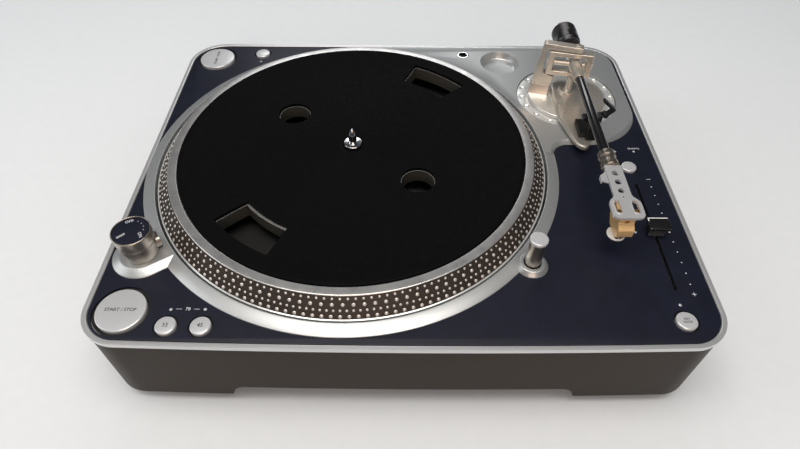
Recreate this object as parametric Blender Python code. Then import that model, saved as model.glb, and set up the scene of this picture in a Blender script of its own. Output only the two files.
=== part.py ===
"""A direct drive turntable, in metres, +Z up, standing on z = 0 with its deck's middle over the origin.

Heights on and under the deck are measured from the deck's rim, and the pieces there hang from an
empty on that level. The front of the deck faces -Y.
"""

import math

import bmesh
import bpy
from mathutils import Matrix, Vector

# Deck and body
DECK_HEIGHT = 0.086
FOOT_HEIGHT = 0.016
FRONT_BOW = 0.0037
FRONT_CORNER = 0.029
REAR_CORNER = 0.034
RIM_WIDTH = 0.0035
RIM_ROUND = 0.0015
COVER_EDGE = 0.004
WALL_INSET = 0.0008
WALL = 0.003
WALL_FOOT_ROUND = 0.002
GAP = 0.0003
OVERRUN = 0.020
PANEL_THICKNESS = 0.0012
PANEL_DROP = 0.0004
PANEL_TIP = 0.025
BOTTOM_THICKNESS = 0.003

# Hand recess under the front edge
RECESS_SIDE_INSET = 0.095
RECESS_SLOPE = 0.010
RECESS_HEIGHT = 0.013
RECESS_DEPTH = 0.032

# Feet and corner posts
FOOT_RADIUS = 0.028
FOOT_NECK = 0.0245
FOOT_ROUND = 0.002
FOOT_SIDE_INSET = 0.048
FOOT_END_INSET = 0.052
POST_RADIUS = 0.007
POST_INSET = 0.010
POST_LEFT_SHARES = (0.2973, 0.7568)
POST_RIGHT_SHARES = (0.6216, 0.8378)

# Platter and the well it turns in, each circle a step out from the mat
MAT_RADIUS = 0.1468
RIM_BAND_WIDTH = 0.0072
STROBE_SLOPE_WIDTH = 0.011
PLATTER_LIP_STEP = 0.001
WELL_CLEARANCE = 0.0047
RING_WIDTH = 0.0072
RING_LEFT_MARGIN = 0.0030
RING_FRONT_MARGIN = 0.0090
RING_REAR_MARGIN = 0.0052
PLATTER_DISC = 0.004
PLATTER_LIP_TOP = 0.0004
PLATTER_LIP_LOW = -0.004
PLATTER_LIP_WALL = 0.003
PLATTER_SKIN = 0.0044
STROBE_LOW_HEIGHT = 0.0015
PLATTER_RIM_TOP = 0.0155
HUB_RADIUS = 0.014
HUB_DEPTH = 0.007
MAT_TOP = 0.0167
MAT_THICKNESS = 0.003
MAT_CLEARANCE = 0.0004
WELL_DEPTH = 0.010
WELL_WALL = 0.003
RING_CREST = 0.00305
RING_CREST_WIDTH = 0.0008
RAISED_TOP = 0.003
MOTOR_OPENING_RADIUS = 0.062

# Openings in platter and mat
ROUND_HOLE_RADIUS = 0.0135
ROUND_HOLE_CENTRE = 0.0695
ROUND_HOLE_ANGLES = (-37.5, 142.5)
SECTOR_MARGIN = 0.0148
SECTOR_WIDTH = 0.027
SECTOR_ANGLES = ((221.0, 245.0), (41.0, 65.0))
COLLAR_WALL = 0.002
COLLAR_DEPTH = 0.0075

# Spindle and motor
SPINDLE_RADIUS = 0.0036
SPINDLE_TOP = 0.0332
SPINDLE_CONE = 0.0055
SPINDLE_TIP = 0.0006
SPINDLE_FLANGE_RADIUS = 0.00775
SPINDLE_FLANGE_RISE = 0.0025
BEARING_RADIUS = 0.012
BEARING_DEPTH = 0.038
BEARING_TOP = -0.003
BEARING_FLOOR = 0.003
MOTOR_PLATE = 0.0025
MOTOR_PLATE_LAP = 0.010
STATOR_RADIUS = 0.045
STATOR_BOARD = 0.0016
COIL_COUNT = 12
COIL_CIRCLE = 0.034
COIL_RADIUS = 0.0065
COIL_HEIGHT = 0.005
MAGNET_INNER = 0.0475
MAGNET_OUTER = 0.0530
MAGNET_HEIGHT = 0.014

# Power knob over the strobe tower, beside the ring round the platter's well
KNOB_REACH = 0.00936
KNOB_TURN = 215.0
BOSS_FOOT_RADIUS = 0.0227
BOSS_TOP_RADIUS = 0.0145
BOSS_TURN = 35.0
BOSS_REACH = 0.022
TOWER_FOOT_RADIUS = 0.0126
TOWER_SEAM_RADIUS = 0.0135
TOWER_SEAM_TOP = 0.0165
KNOB_TOP_RADIUS = 0.0143
KNOB_TOP = 0.0275
KNOB_RIM = 0.0012
KNOB_DISC_THICKNESS = 0.0012
KNOB_DISC_DROP = 0.0003
KNOB_SHAFT_RADIUS = 0.003
KNOB_SHAFT_DEPTH = 0.012
POWER_SWITCH_RADIUS = 0.0105
POWER_SWITCH_HEIGHT = 0.012
HOOD_LENGTH = 0.0165
HOOD_WIDTH = 0.012
HOOD_HEIGHT = 0.0095
HOOD_WALL = 0.0012
HOOD_CENTRE_HEIGHT = 0.0088
WINDOW_DROP = 0.0022
WINDOW_THICKNESS = 0.001

# Pop-up target light, beside the same ring
LIGHT_REACH = 0.00291
LIGHT_TURN = -39.456
LIGHT_RADIUS = 0.006
LIGHT_TOP = 0.0305
LIGHT_CAP_RADIUS = 0.00675
LIGHT_CAP_HEIGHT = 0.0035
LIGHT_HOLE_RADIUS = 0.0068
LIGHT_BOSS_FOOT = 0.0125
LIGHT_BOSS_TOP = 0.0095
LIGHT_TRAVEL = 0.022
LIGHT_INSIDE_LENGTH = 0.022
SLEEVE_WALL = 0.002
SLEEVE_FLOOR = 0.002
LAMP_OPENING = 0.0025
LAMP_HEIGHT = 0.0245

# Buttons
START_RADIUS = 0.0176
START_LEFT_INSET = 0.0272
START_FRONT_INSET = 0.0293
START_REAR_LEFT_INSET = 0.0278
START_REAR_INSET = 0.0285
SMALL_BUTTON_RADIUS = 0.0073
SPEED_FRONT_INSET = 0.0173
SPEED_33_LEFT_INSET = 0.0615
SPEED_45_LEFT_INSET = 0.0855
REVERSE_LEFT_INSET = 0.0741
REVERSE_REAR_INSET = 0.0183
QUARTZ_RADIUS = 0.0065
QUARTZ_RIGHT_INSET = 0.0292
QUARTZ_SLOT_MARGIN = 0.0207
KEY_LOCK_RADIUS = 0.0074
KEY_LOCK_RIGHT_INSET = 0.0293
KEY_LOCK_FRONT_INSET = 0.0236
BUTTON_RISE = 0.0013
BUTTON_TRAVEL = 0.0010
BUTTON_CLEARANCE = 0.0005
BUTTON_BODY = 0.0065
BUTTON_ROUND = 0.0006
BUTTON_WALL = 0.0013
BUTTON_STEM_RADIUS = 0.0022

# Switch boards under the deck
BOARD_THICKNESS = 0.0016
BOARD_DROP = 0.0095
BOARD_MARGIN = 0.0065
SWITCH_SIDE = 0.006
BOARD_POST_RADIUS = 0.0018
BOARD_POST_REACH = 0.012
LED_RADIUS = 0.00125
LED_CLEARANCE = 0.0003
LED_SINK = 0.0002
LED_33_OFFSET = (0.0, 0.0136)
LED_45_OFFSET = (0.0, 0.0139)
LED_REVERSE_OFFSET = (0.0, -0.014)
LED_QUARTZ_OFFSET = (-0.007, 0.0207)
LED_QUARTZ_RIGHT_OFFSET = (0.010, 0.0207)
LED_KEY_LOCK_OFFSET = (0.0, 0.0137)

# Pitch fader
FADER_RIGHT_INSET = 0.0285
FADER_FRONT_INSET = 0.104
SLOT_HALF_LENGTH = 0.0541
SLOT_WIDTH = 0.0026
CAP_WIDTH = 0.0173
CAP_DEPTH = 0.0125
CAP_TOP = 0.0115
CAP_RISE = 0.0008
CAP_WAIST_HEIGHT = 0.005
CAP_WAIST_INSET = 0.0022
CAP_ROUND = 0.0012
LEVER_WIDTH = 0.0016
LEVER_LENGTH = 0.005
LEVER_REACH = 0.004
FADER_BODY_WIDTH = 0.015
FADER_BODY_HEIGHT = 0.012
FADER_BODY_LAP = 0.008
FADER_BODY_DROP = 0.005
LED_FADER_OFFSET = (-0.0145, 0.0008)

# Island that carries the arm, with the adapter dish and the headshell socket
ISLAND_FLANK = 0.0035
ISLAND_REAR_INSET = 0.005
ISLAND_RIGHT_INSET = 0.0055
ISLAND_REAR_CORNER = 0.0285
ISLAND_FRONT_CORNER = 0.052
ISLAND_DIAL_MARGIN = 0.0213
ISLAND_NOTCH_INSET = 0.0775
ISLAND_FILLET = 0.012
DISH_REACH = 0.02759
DISH_TURN = 45.513
DISH_RADIUS = 0.020
DISH_FLOOR_RADIUS = 0.0175
DISH_DEPTH = 0.0075
DISH_WALL = 0.0025
SOCKET_REACH = 0.01433
SOCKET_TURN = 56.392
SOCKET_RADIUS = 0.006
SOCKET_BORE = 0.0042
SOCKET_LENGTH = 0.026
SOCKET_FLOOR = 0.003
SOCKET_PROUD = 0.0004

# Arm base and its height dial, beside the ring round the platter's well
ARM_REACH = 0.04363
ARM_TURN = 23.858
DIAL_RIGHT_MARGIN = 0.0193
ARM_AXIS_HEIGHT = 0.039
DIAL_RADIUS = 0.0472
DIAL_INNER_RADIUS = 0.024
DIAL_TOP = 0.0015
DIAL_CLEARANCE = 0.0005
DIMPLE_COUNT = 18
DIMPLE_CIRCLE = 0.0432
DIMPLE_RADIUS = 0.0030
DIMPLE_DEPTH = 0.0012
BASE_DISC_RADIUS = 0.0375
BASE_DISC_TOP = 0.0050
BASE_DISC_ROUND = 0.0015
SLAB_TOP = 0.0095
SLAB_ROUND = 0.0015
COLUMN_RADIUS = 0.0205
COLUMN_DEPTH = 0.030
COLLAR_RING_WALL = 0.006
COLLAR_RING_DEPTH = 0.020
COLUMN_CLEARANCE = 0.0004
PIVOT_DISC_RADIUS = 0.009
PIVOT_DISC_RISE = 0.0025
PIVOT_POST_RADIUS = 0.0035

# Slab outline, as shares of the base disc's radius from the arm's pivot: sideways, then forward
SLAB_OUTLINE_SHARES = (
    (-0.41, -0.28),
    (-0.41, 1.06),
    (-0.32, 1.46),
    (-0.16, 2.06),
    (-0.06, 2.19),
    (0.07, 2.20),
    (0.22, 1.94),
    (0.64, 0.92),
    (0.88, 0.54),
    (0.92, 0.12),
    (0.80, -0.26),
    (0.56, -0.44),
    (-0.20, -0.44),
)

# Yoke, in its own upright plane turned about the pivot
YOKE_TURN = -16.0
YOKE_DEPTH = 0.0075
YOKE_TOP = 0.0182
YOKE_ARM = 0.0052
YOKE_BAR_INNER = 0.0273
YOKE_BAR_TOP_OUTER = 0.0310
YOKE_BAR_LOW_OUTER = 0.0357
YOKE_FOOT_INNER = 0.0159
YOKE_FOOT_LOW_INNER = 0.0178
YOKE_FOOT_TOP = 0.0125
YOKE_FOOT_FALL = 0.0028
YOKE_FOOT_LOW = 0.0245
YOKE_ARM_END = 0.0045
YOKE_SCREW_RADIUS = 0.0026
YOKE_SCREW_RISE = 0.0016
YOKE_PAD_FLARE = 0.002

# Ring that swings inside the yoke and carries the arm's lift axis
RING_TURN = -11.0
RING_DEPTH = 0.0075
RING_OUTER_LEFT = 0.0250
RING_OUTER_RIGHT = 0.0155
RING_INNER_LEFT = 0.0194
RING_INNER_RIGHT = 0.0097
RING_OUTER_HALF_HEIGHT = 0.0120
RING_INNER_HALF_HEIGHT = 0.0076
BEARING_ROD_RADIUS = 0.0026
BEARING_ROD_CLEARANCE = 0.0003

# Tonearm, along -Y from its pivot
ROOT_HUB_RADIUS = 0.0059
ROOT_HUB_REAR = 0.010
ROOT_CONE_START = 0.004
ROOT_CONE_END = 0.0245
ROOT_NOSE_RADIUS = 0.0047
REAR_SHAFT_RADIUS = 0.004
REAR_SHAFT_PROUD = 0.0120
TUBE_RADIUS = 0.004
TUBE_LAP = 0.0085
NUT_RADIUS = 0.00675
NUT_START = 0.1245
NUT_LENGTH = 0.0170
NUT_GROOVE = 0.0006
NUT_BORE = 0.0044
WEIGHT_RADIUS = 0.0118
WEIGHT_START = 0.0305
WEIGHT_LENGTH = 0.0260
WEIGHT_STEP = 0.0015
WEIGHT_BORE = 0.0044
DIAL_RING_RADIUS = 0.0108
DIAL_RING_WIDTH = 0.0035

# Headshell, cartridge and stylus, from the collar nut on
SHELL_PLATE_TOP = 0.0040
SHELL_PLATE = 0.0020
SHELL_NECK_WIDTH = 0.0130
SHELL_WIDE_WIDTH = 0.0230
SHELL_TAPER_LENGTH = 0.0330
SHELL_WIDE_LENGTH = 0.0215
SHELL_CORNER = 0.0050
SHELL_HOLE_RADII = (0.0026, 0.0026, 0.0024)
SHELL_HOLE_STEPS = (0.0088, 0.0183, 0.0273)
SHELL_SLOT_SPACING = 0.0127
SHELL_SLOT_WIDTH = 0.0026
SHELL_SLOT_LENGTH = 0.0072
SHELL_SLOT_STEP = 0.0105
SHELL_PLUG_RADIUS = 0.0040
SHELL_BLOCK_WIDTH = 0.0095
SHELL_BLOCK_LENGTH = 0.0060
SHELL_BLOCK_LOW = -0.0032
FINGER_STEP = 0.0075
FINGER_LENGTH = 0.0120
FINGER_REACH = 0.0052
FINGER_THICKNESS = 0.0010
FINGER_DROP = 0.0020
CARTRIDGE_WIDTH = 0.0115
CARTRIDGE_STEP = 0.0020
CARTRIDGE_TOP_LENGTH = 0.0170
CARTRIDGE_NOSE = 0.0045
CARTRIDGE_SHOULDER = 0.0075
CARTRIDGE_LOW = 0.0172
CARTRIDGE_TAIL_LOW = 0.0110
CARTRIDGE_CHAMFER = 0.0030
STYLUS_THICKNESS = 0.0013
STYLUS_RADIUS = 0.0068
STYLUS_STEP = 0.0150
STYLUS_SIDE = 0.0030
STYLUS_TIP = 0.0016
STYLUS_TIP_RADIUS = 0.0007

# Arm rest and its clip
REST_FRONT = 0.0745
REST_DEPTH = 0.0065
REST_BLOCK_LEFT = 0.0035
REST_BLOCK_RIGHT = 0.0120
REST_BLOCK_REAR = 0.0500
REST_BLOCK_HEIGHT = 0.0050
REST_FLOOR = 0.0030
REST_LEFT = 0.0060
REST_RIGHT = 0.0105
REST_POST_LEFT = 0.0020
REST_HORN = 0.0022
REST_HORN_RISE = 0.0020
CLIP_HINGE_SIDE = 0.0128
CLIP_HINGE_DROP = 0.0030
CLIP_EYE_RADIUS = 0.0020
CLIP_LEG = 0.0024
CLIP_REACH = 0.0138
CLIP_PIN_RADIUS = 0.0009
CLIP_CLEARANCE = 0.0004
CLIP_OPEN_TURN = 40.0

# Rear sockets
JACK_LEFT_INSET = 0.165
JACK_WIDTH = 0.084
JACK_HEIGHT = 0.028
JACK_HEIGHT_SHARE = 0.4286
JACK_POCKET = 0.013
JACK_WALL = 0.002
PHONO_RADIUS = 0.0042
PHONO_FLANGE = 0.0062
PHONO_FLANGE_THICKNESS = 0.0015
PHONO_LENGTH = 0.0095
PHONO_SPACING = 0.018
PHONO_BORE = 0.0016
PHONO_BORE_DEPTH = 0.007
GROUND_OFFSET = 0.026
GROUND_RADIUS = 0.0050
GROUND_LENGTH = 0.009
GROUND_WAIST = 0.0022
INLET_RIGHT_INSET = 0.090
INLET_WIDTH = 0.030
INLET_HEIGHT = 0.022
INLET_DEPTH = 0.022
INLET_CAVITY_WIDTH = 0.024
INLET_CAVITY_HEIGHT = 0.0165
INLET_CAVITY_DEPTH = 0.016
INLET_PIN_SPACING = 0.007
INLET_PIN_RISE = 0.002
INLET_PIN_WIDTH = 0.002
INLET_PIN_HEIGHT = 0.004
INLET_PIN_LENGTH = 0.013

# Inside the base
BOARD_LEFT_INSET = 0.145
BOARD_FRONT_INSET = 0.110
MAIN_BOARD_WIDTH = 0.130
MAIN_BOARD_DEPTH = 0.080
STANDOFF_HEIGHT = 0.006
STANDOFF_RADIUS = 0.003
STANDOFF_INSET = 0.008
CHIP_WIDTH = 0.014
CHIP_HEIGHT = 0.003
CAPACITOR_RADIUS = 0.006
CAPACITOR_HEIGHT = 0.018
TRANSFORMER_RIGHT_INSET = 0.095
TRANSFORMER_REAR_INSET = 0.145
TRANSFORMER_WIDTH = 0.060
TRANSFORMER_DEPTH = 0.048
TRANSFORMER_HEIGHT = 0.036
WINDING_WIDTH = 0.036
WINDING_BULGE = 0.007
WINDING_INSET = 0.006

# Roundness
LARGE_SIDES = 72
MEDIUM_SIDES = 32
SMALL_SIDES = 20
TINY_SIDES = 8
CORNER_STEPS = 6
TINY_STEPS = 3
SMOOTH_ANGLE = 35.0

# Sizes worked out from the ones above
STROBE_TOP_RADIUS = MAT_RADIUS + RIM_BAND_WIDTH
STROBE_LOW_RADIUS = STROBE_TOP_RADIUS + STROBE_SLOPE_WIDTH
PLATTER_RADIUS = STROBE_LOW_RADIUS + PLATTER_LIP_STEP
WELL_RADIUS = PLATTER_RADIUS + WELL_CLEARANCE
RING_FOOT_RADIUS = WELL_RADIUS + RING_WIDTH
SECTOR_OUTER_RADIUS = MAT_RADIUS - SECTOR_MARGIN
SECTOR_INNER_RADIUS = SECTOR_OUTER_RADIUS - SECTOR_WIDTH
ARM_DISTANCE = RING_FOOT_RADIUS + ARM_REACH
ARM_STEP_RIGHT = ARM_DISTANCE * math.cos(math.radians(ARM_TURN))
ARM_RIGHT_MARGIN = DIAL_RADIUS + DIAL_RIGHT_MARGIN
BODY_WIDTH = RING_LEFT_MARGIN + RING_FOOT_RADIUS + ARM_STEP_RIGHT + ARM_RIGHT_MARGIN
BODY_DEPTH = RING_FRONT_MARGIN + 2 * RING_FOOT_RADIUS + RING_REAR_MARGIN
RECESS_HALF_WIDTH = BODY_WIDTH / 2 - RECESS_SIDE_INSET
WEIGHT_END = WEIGHT_START + WEIGHT_LENGTH
REAR_SHAFT_END = WEIGHT_END + REAR_SHAFT_PROUD
TUBE_END = NUT_START + TUBE_LAP
NUT_END = NUT_START + NUT_LENGTH
SHELL_BLOCK_END = NUT_END + SHELL_BLOCK_LENGTH
SHELL_HOLE_PLACES = tuple(NUT_END + step for step in SHELL_HOLE_STEPS)
SHELL_WIDE_START = NUT_END + SHELL_TAPER_LENGTH
SHELL_SLOT_PLACE = SHELL_WIDE_START + SHELL_SLOT_STEP
SHELL_END = SHELL_WIDE_START + SHELL_WIDE_LENGTH
FINGER_START = NUT_END + FINGER_STEP
FINGER_END = FINGER_START + FINGER_LENGTH
CARTRIDGE_REAR = SHELL_WIDE_START + CARTRIDGE_STEP
CARTRIDGE_TOP_FRONT = CARTRIDGE_REAR + CARTRIDGE_TOP_LENGTH
CARTRIDGE_FRONT = CARTRIDGE_TOP_FRONT + CARTRIDGE_NOSE
STYLUS_PLACE = CARTRIDGE_REAR + STYLUS_STEP

# Places worked out from the sizes above
LEFT = -BODY_WIDTH / 2
RIGHT = BODY_WIDTH / 2
FRONT = -BODY_DEPTH / 2
REAR = BODY_DEPTH / 2
PANEL_TOP = -PANEL_DROP
PANEL_LOW = PANEL_TOP - PANEL_THICKNESS
PANEL_FLOOR = PANEL_LOW - GAP
COVER_LOW = -COVER_EDGE
PLATTER_AT = (LEFT + RING_LEFT_MARGIN + RING_FOOT_RADIUS, FRONT + RING_FRONT_MARGIN + RING_FOOT_RADIUS)
START_FRONT_AT = (LEFT + START_LEFT_INSET, FRONT + START_FRONT_INSET)
START_REAR_AT = (LEFT + START_REAR_LEFT_INSET, REAR - START_REAR_INSET)
SPEED_33_AT = (LEFT + SPEED_33_LEFT_INSET, FRONT + SPEED_FRONT_INSET)
SPEED_45_AT = (LEFT + SPEED_45_LEFT_INSET, FRONT + SPEED_FRONT_INSET)
REVERSE_AT = (LEFT + REVERSE_LEFT_INSET, REAR - REVERSE_REAR_INSET)
QUARTZ_FRONT_INSET = FADER_FRONT_INSET + SLOT_HALF_LENGTH + QUARTZ_SLOT_MARGIN
QUARTZ_AT = (RIGHT - QUARTZ_RIGHT_INSET, FRONT + QUARTZ_FRONT_INSET)
KEY_LOCK_AT = (RIGHT - KEY_LOCK_RIGHT_INSET, FRONT + KEY_LOCK_FRONT_INSET)
FADER_AT = (RIGHT - FADER_RIGHT_INSET, FRONT + FADER_FRONT_INSET)
BOARD_AT = (LEFT + BOARD_LEFT_INSET, FRONT + BOARD_FRONT_INSET)
TRANSFORMER_AT = (RIGHT - TRANSFORMER_RIGHT_INSET, REAR - TRANSFORMER_REAR_INSET)
JACK_CENTRE_X = LEFT + JACK_LEFT_INSET
JACK_CENTRE_Z = FOOT_HEIGHT + JACK_HEIGHT_SHARE * (DECK_HEIGHT - FOOT_HEIGHT)
INLET_CENTRE_X = RIGHT - INLET_RIGHT_INSET
FRONT_LEDS = ((SPEED_33_AT, LED_33_OFFSET), (SPEED_45_AT, LED_45_OFFSET))
REAR_LEDS = ((REVERSE_AT, LED_REVERSE_OFFSET),)
RIGHT_LEDS = (
    (QUARTZ_AT, LED_QUARTZ_OFFSET),
    (QUARTZ_AT, LED_QUARTZ_RIGHT_OFFSET),
    (KEY_LOCK_AT, LED_KEY_LOCK_OFFSET),
    (FADER_AT, LED_FADER_OFFSET),
)


def beside_ring(reach, turn):
    """A place at a reach from the foot of the platter's ring, in a direction from its middle."""
    distance = RING_FOOT_RADIUS + reach
    angle = math.radians(turn)
    return (PLATTER_AT[0] + distance * math.cos(angle), PLATTER_AT[1] + distance * math.sin(angle))


KNOB_AT = beside_ring(KNOB_REACH, KNOB_TURN)
LIGHT_AT = beside_ring(LIGHT_REACH, LIGHT_TURN)
DISH_AT = beside_ring(DISH_REACH, DISH_TURN)
SOCKET_AT = beside_ring(SOCKET_REACH, SOCKET_TURN)
ARM_AT = beside_ring(ARM_REACH, ARM_TURN)
ISLAND_FRONT_INSET = REAR - ARM_AT[1] + DIAL_RADIUS + ISLAND_DIAL_MARGIN


def clear_scene():
    for thing in list(bpy.data.objects):
        bpy.data.objects.remove(thing, do_unlink=True)


def material(name, colour, roughness, metallic=0.0):
    made = bpy.data.materials.new(name)
    made.use_nodes = True
    shader = made.node_tree.nodes["Principled BSDF"]
    shader.inputs["Base Color"].default_value = (*colour, 1.0)
    shader.inputs["Roughness"].default_value = roughness
    shader.inputs["Metallic"].default_value = metallic
    return made


# Outlines, as lists of (x, y)
def arc(centre, radius, start, end, steps):
    points = []
    for step in range(steps + 1):
        angle = math.radians(start + (end - start) * step / steps)
        points.append((centre[0] + radius * math.cos(angle), centre[1] + radius * math.sin(angle)))
    return points


def circle(radius, sides, centre=(0, 0)):
    return arc(centre, radius, 0, 360, sides)[:-1]


def rectangle(left, right, low, high):
    return [(left, low), (right, low), (right, high), (left, high)]


def rounded_rectangle(left, right, low, high, corner, steps=CORNER_STEPS):
    outline = arc((right - corner, low + corner), corner, -90, 0, steps)
    outline += arc((right - corner, high - corner), corner, 0, 90, steps)
    outline += arc((left + corner, high - corner), corner, 90, 180, steps)
    outline += arc((left + corner, low + corner), corner, 180, 270, steps)
    return outline


def capsule(centre, radius, turn, reach, steps):
    """A round end about centre, drawn out by reach in the direction of turn degrees."""
    angle = math.radians(turn)
    far = (centre[0] + reach * math.cos(angle), centre[1] + reach * math.sin(angle))
    outline = arc(far, radius, turn - 90, turn + 90, steps)
    return outline + arc(centre, radius, turn + 90, turn + 270, steps)


def deck_outline(inset):
    """The body seen from above: round corners, and a front edge that bows forward in the middle."""
    half_width = BODY_WIDTH / 2 - inset
    half_depth = BODY_DEPTH / 2 - inset
    front_corner = FRONT_CORNER - inset
    rear_corner = REAR_CORNER - inset
    flat = half_width - front_corner
    corner_front = -half_depth + FRONT_BOW * (flat / half_width) ** 2
    front_centre = corner_front + front_corner
    rear_centre = half_depth - rear_corner
    outline = arc((-flat, front_centre), front_corner, 180, 270, CORNER_STEPS)[:-1]
    steps = 2 * CORNER_STEPS
    for step in range(steps + 1):
        x = flat * (2 * step / steps - 1)
        outline.append((x, -half_depth + FRONT_BOW * (x / half_width) ** 2))
    outline += arc((flat, front_centre), front_corner, 270, 360, CORNER_STEPS)[1:]
    outline += arc((half_width - rear_corner, rear_centre), rear_corner, 0, 90, CORNER_STEPS)
    outline += arc((rear_corner - half_width, rear_centre), rear_corner, 90, 180, CORNER_STEPS)
    return outline


def island_outline(inset):
    """The raised field round the arm, running into the platter's ring on its left."""
    right = RIGHT - ISLAND_RIGHT_INSET - inset
    rear = REAR - ISLAND_REAR_INSET - inset
    front = REAR - ISLAND_FRONT_INSET + inset
    rear_corner = ISLAND_REAR_CORNER - inset
    front_corner = ISLAND_FRONT_CORNER - inset
    fillet_at = (RIGHT - ISLAND_NOTCH_INSET, REAR - ISLAND_FRONT_INSET - ISLAND_FILLET)
    outline = arc((right - front_corner, front + front_corner), front_corner, -90, 0, CORNER_STEPS)
    outline += arc((right - rear_corner, rear - rear_corner), rear_corner, 0, 90, CORNER_STEPS)
    outline.append((PLATTER_AT[0], rear))
    outline.append((PLATTER_AT[0] + WELL_RADIUS / 2, PLATTER_AT[1]))
    return outline + arc(fillet_at, ISLAND_FILLET + inset, 180, 90, CORNER_STEPS)


# Solids, as bmeshes
def stack(levels):
    """A closed skin through outlines of equal count, each given as (outline, height)."""
    shape = bmesh.new()
    rings = []
    for outline, height in levels:
        rings.append([shape.verts.new((x, y, height)) for x, y in outline])
    count = len(rings[0])
    for low, high in zip(rings, rings[1:]):
        for i in range(count):
            j = (i + 1) % count
            shape.faces.new((low[i], low[j], high[j], high[i]))
    shape.faces.new(list(reversed(rings[0])))
    shape.faces.new(rings[-1])
    bmesh.ops.recalc_face_normals(shape, faces=shape.faces)
    return shape


def prism(outline, low, high):
    return stack([(outline, low), (outline, high)])


def lathe(profile, sides):
    """A closed profile of (radius, height) turned about Z."""
    shape = bmesh.new()
    rings = []
    for radius, height in profile:
        if radius == 0:
            rings.append([shape.verts.new((0, 0, height))] * sides)
        else:
            rings.append([shape.verts.new((x, y, height)) for x, y in circle(radius, sides)])
    for low, high in zip(rings, rings[1:] + rings[:1]):
        if low[0] is low[1] and high[0] is high[1]:
            continue
        for i in range(sides):
            j = (i + 1) % sides
            corners = []
            for corner in (low[i], low[j], high[j], high[i]):
                if corner not in corners:
                    corners.append(corner)
            shape.faces.new(corners)
    bmesh.ops.recalc_face_normals(shape, faces=shape.faces)
    return shape


def rod(radius, low, high, sides):
    return prism(circle(radius, sides), low, high)


def together(*shapes):
    """Several solids that don't meet, kept as one bmesh."""
    whole = bmesh.new()
    for shape in shapes:
        mesh = bpy.data.meshes.new("piece")
        shape.to_mesh(mesh)
        shape.free()
        whole.from_mesh(mesh)
        bpy.data.meshes.remove(mesh)
    return whole


def moved(shape, offset):
    bmesh.ops.translate(shape, verts=shape.verts, vec=Vector(offset))
    return shape


def turned(shape, degrees, axis):
    matrix = Matrix.Rotation(math.radians(degrees), 3, axis)
    bmesh.ops.rotate(shape, verts=shape.verts, cent=Vector(), matrix=matrix)
    return shape


# Objects
def empty(name, at, turn=0, parent=None):
    made = bpy.data.objects.new(name, None)
    made.location = at
    made.rotation_euler = (0, 0, math.radians(turn))
    made.parent = parent
    bpy.context.scene.collection.objects.link(made)
    return made


def solid(name, shape, finish, at=(0, 0, 0), turn=0, parent=None):
    mesh = bpy.data.meshes.new(name)
    shape.to_mesh(mesh)
    shape.free()
    mesh.shade_smooth()
    mesh.set_sharp_from_angle(angle=math.radians(SMOOTH_ANGLE))
    made = bpy.data.objects.new(name, mesh)
    made.location = at
    made.rotation_euler = (0, 0, math.radians(turn))
    made.parent = parent
    if finish:
        mesh.materials.append(finish)
    bpy.context.scene.collection.objects.link(made)
    return made


def guide(name, shape, at=(0, 0, 0), turn=0, parent=None):
    """A solid that only cuts or joins another one."""
    made = solid(name, shape, None, at, turn, parent)
    made.hide_render = True
    made.display_type = "WIRE"
    return made


def change(target, other, operation):
    modifier = target.modifiers.new(other.name, "BOOLEAN")
    modifier.operation = operation
    modifier.solver = "EXACT"
    modifier.object = other


def cut(target, *others):
    for other in others:
        change(target, other, "DIFFERENCE")


def join(target, *others):
    for other in others:
        change(target, other, "UNION")


# More solids, laid along other directions
def box(left, right, front, rear, low, high):
    return prism(rectangle(left, right, front, rear), low, high)


def block(centre, width, depth, low, high):
    x, y = centre
    return box(x - width / 2, x + width / 2, y - depth / 2, y + depth / 2, low, high)


def forward(shape):
    """Turns what was built upwards to run along -Y."""
    return turned(shape, 90, "X")


def rearward(shape):
    return turned(shape, -90, "X")


def sideways(shape):
    """Turns what was built upwards to run along +X, with what lay along +X hanging down."""
    return turned(shape, 90, "Y")


def across(outline, front, rear):
    """An outline of (x, z) carried along Y."""
    return forward(prism(outline, -rear, -front))


def hole(at, radius, sides=SMALL_SIDES):
    return moved(rod(radius, -OVERRUN, OVERRUN, sides), (*at, 0))


def sector(inner, outer, start, end):
    return arc((0, 0), outer, start, end, CORNER_STEPS) + arc((0, 0), inner, end, start, CORNER_STEPS)


def finishes():
    return {
        "silver": material("silver_paint", (0.60, 0.60, 0.59), 0.42, 0.55),
        "navy": material("navy_panel_paint", (0.012, 0.013, 0.030), 0.45),
        "aluminium": material("turned_aluminium", (0.70, 0.69, 0.67), 0.28, 1.0),
        "brushed": material("brushed_nickel", (0.55, 0.50, 0.45), 0.35, 1.0),
        "chrome": material("chrome_plate", (0.80, 0.80, 0.80), 0.08, 1.0),
        "steel": material("bright_steel", (0.62, 0.62, 0.62), 0.25, 1.0),
        "mat": material("black_rubber_mat", (0.008, 0.008, 0.009), 0.80),
        "rubber": material("black_rubber", (0.015, 0.015, 0.015), 0.75),
        "black": material("black_plastic", (0.012, 0.012, 0.013), 0.40),
        "tube": material("black_enamel_tube", (0.015, 0.015, 0.015), 0.22),
        "button": material("silver_button_plastic", (0.62, 0.62, 0.62), 0.35, 0.4),
        "window": material("smoked_lens", (0.02, 0.012, 0.010), 0.10),
        "gold": material("gold_cartridge_plastic", (0.72, 0.52, 0.27), 0.35, 0.3),
        "cream": material("pale_stylus_plastic", (0.75, 0.73, 0.68), 0.35),
        "board": material("green_circuit_board", (0.02, 0.10, 0.05), 0.50),
        "copper": material("copper_winding", (0.60, 0.28, 0.12), 0.40, 0.8),
        "core": material("laminated_core", (0.20, 0.20, 0.21), 0.50, 0.8),
        "magnet": material("ferrite_magnet", (0.06, 0.06, 0.065), 0.60),
        "brass": material("brass_contact", (0.70, 0.55, 0.25), 0.30, 1.0),
    }


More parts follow.
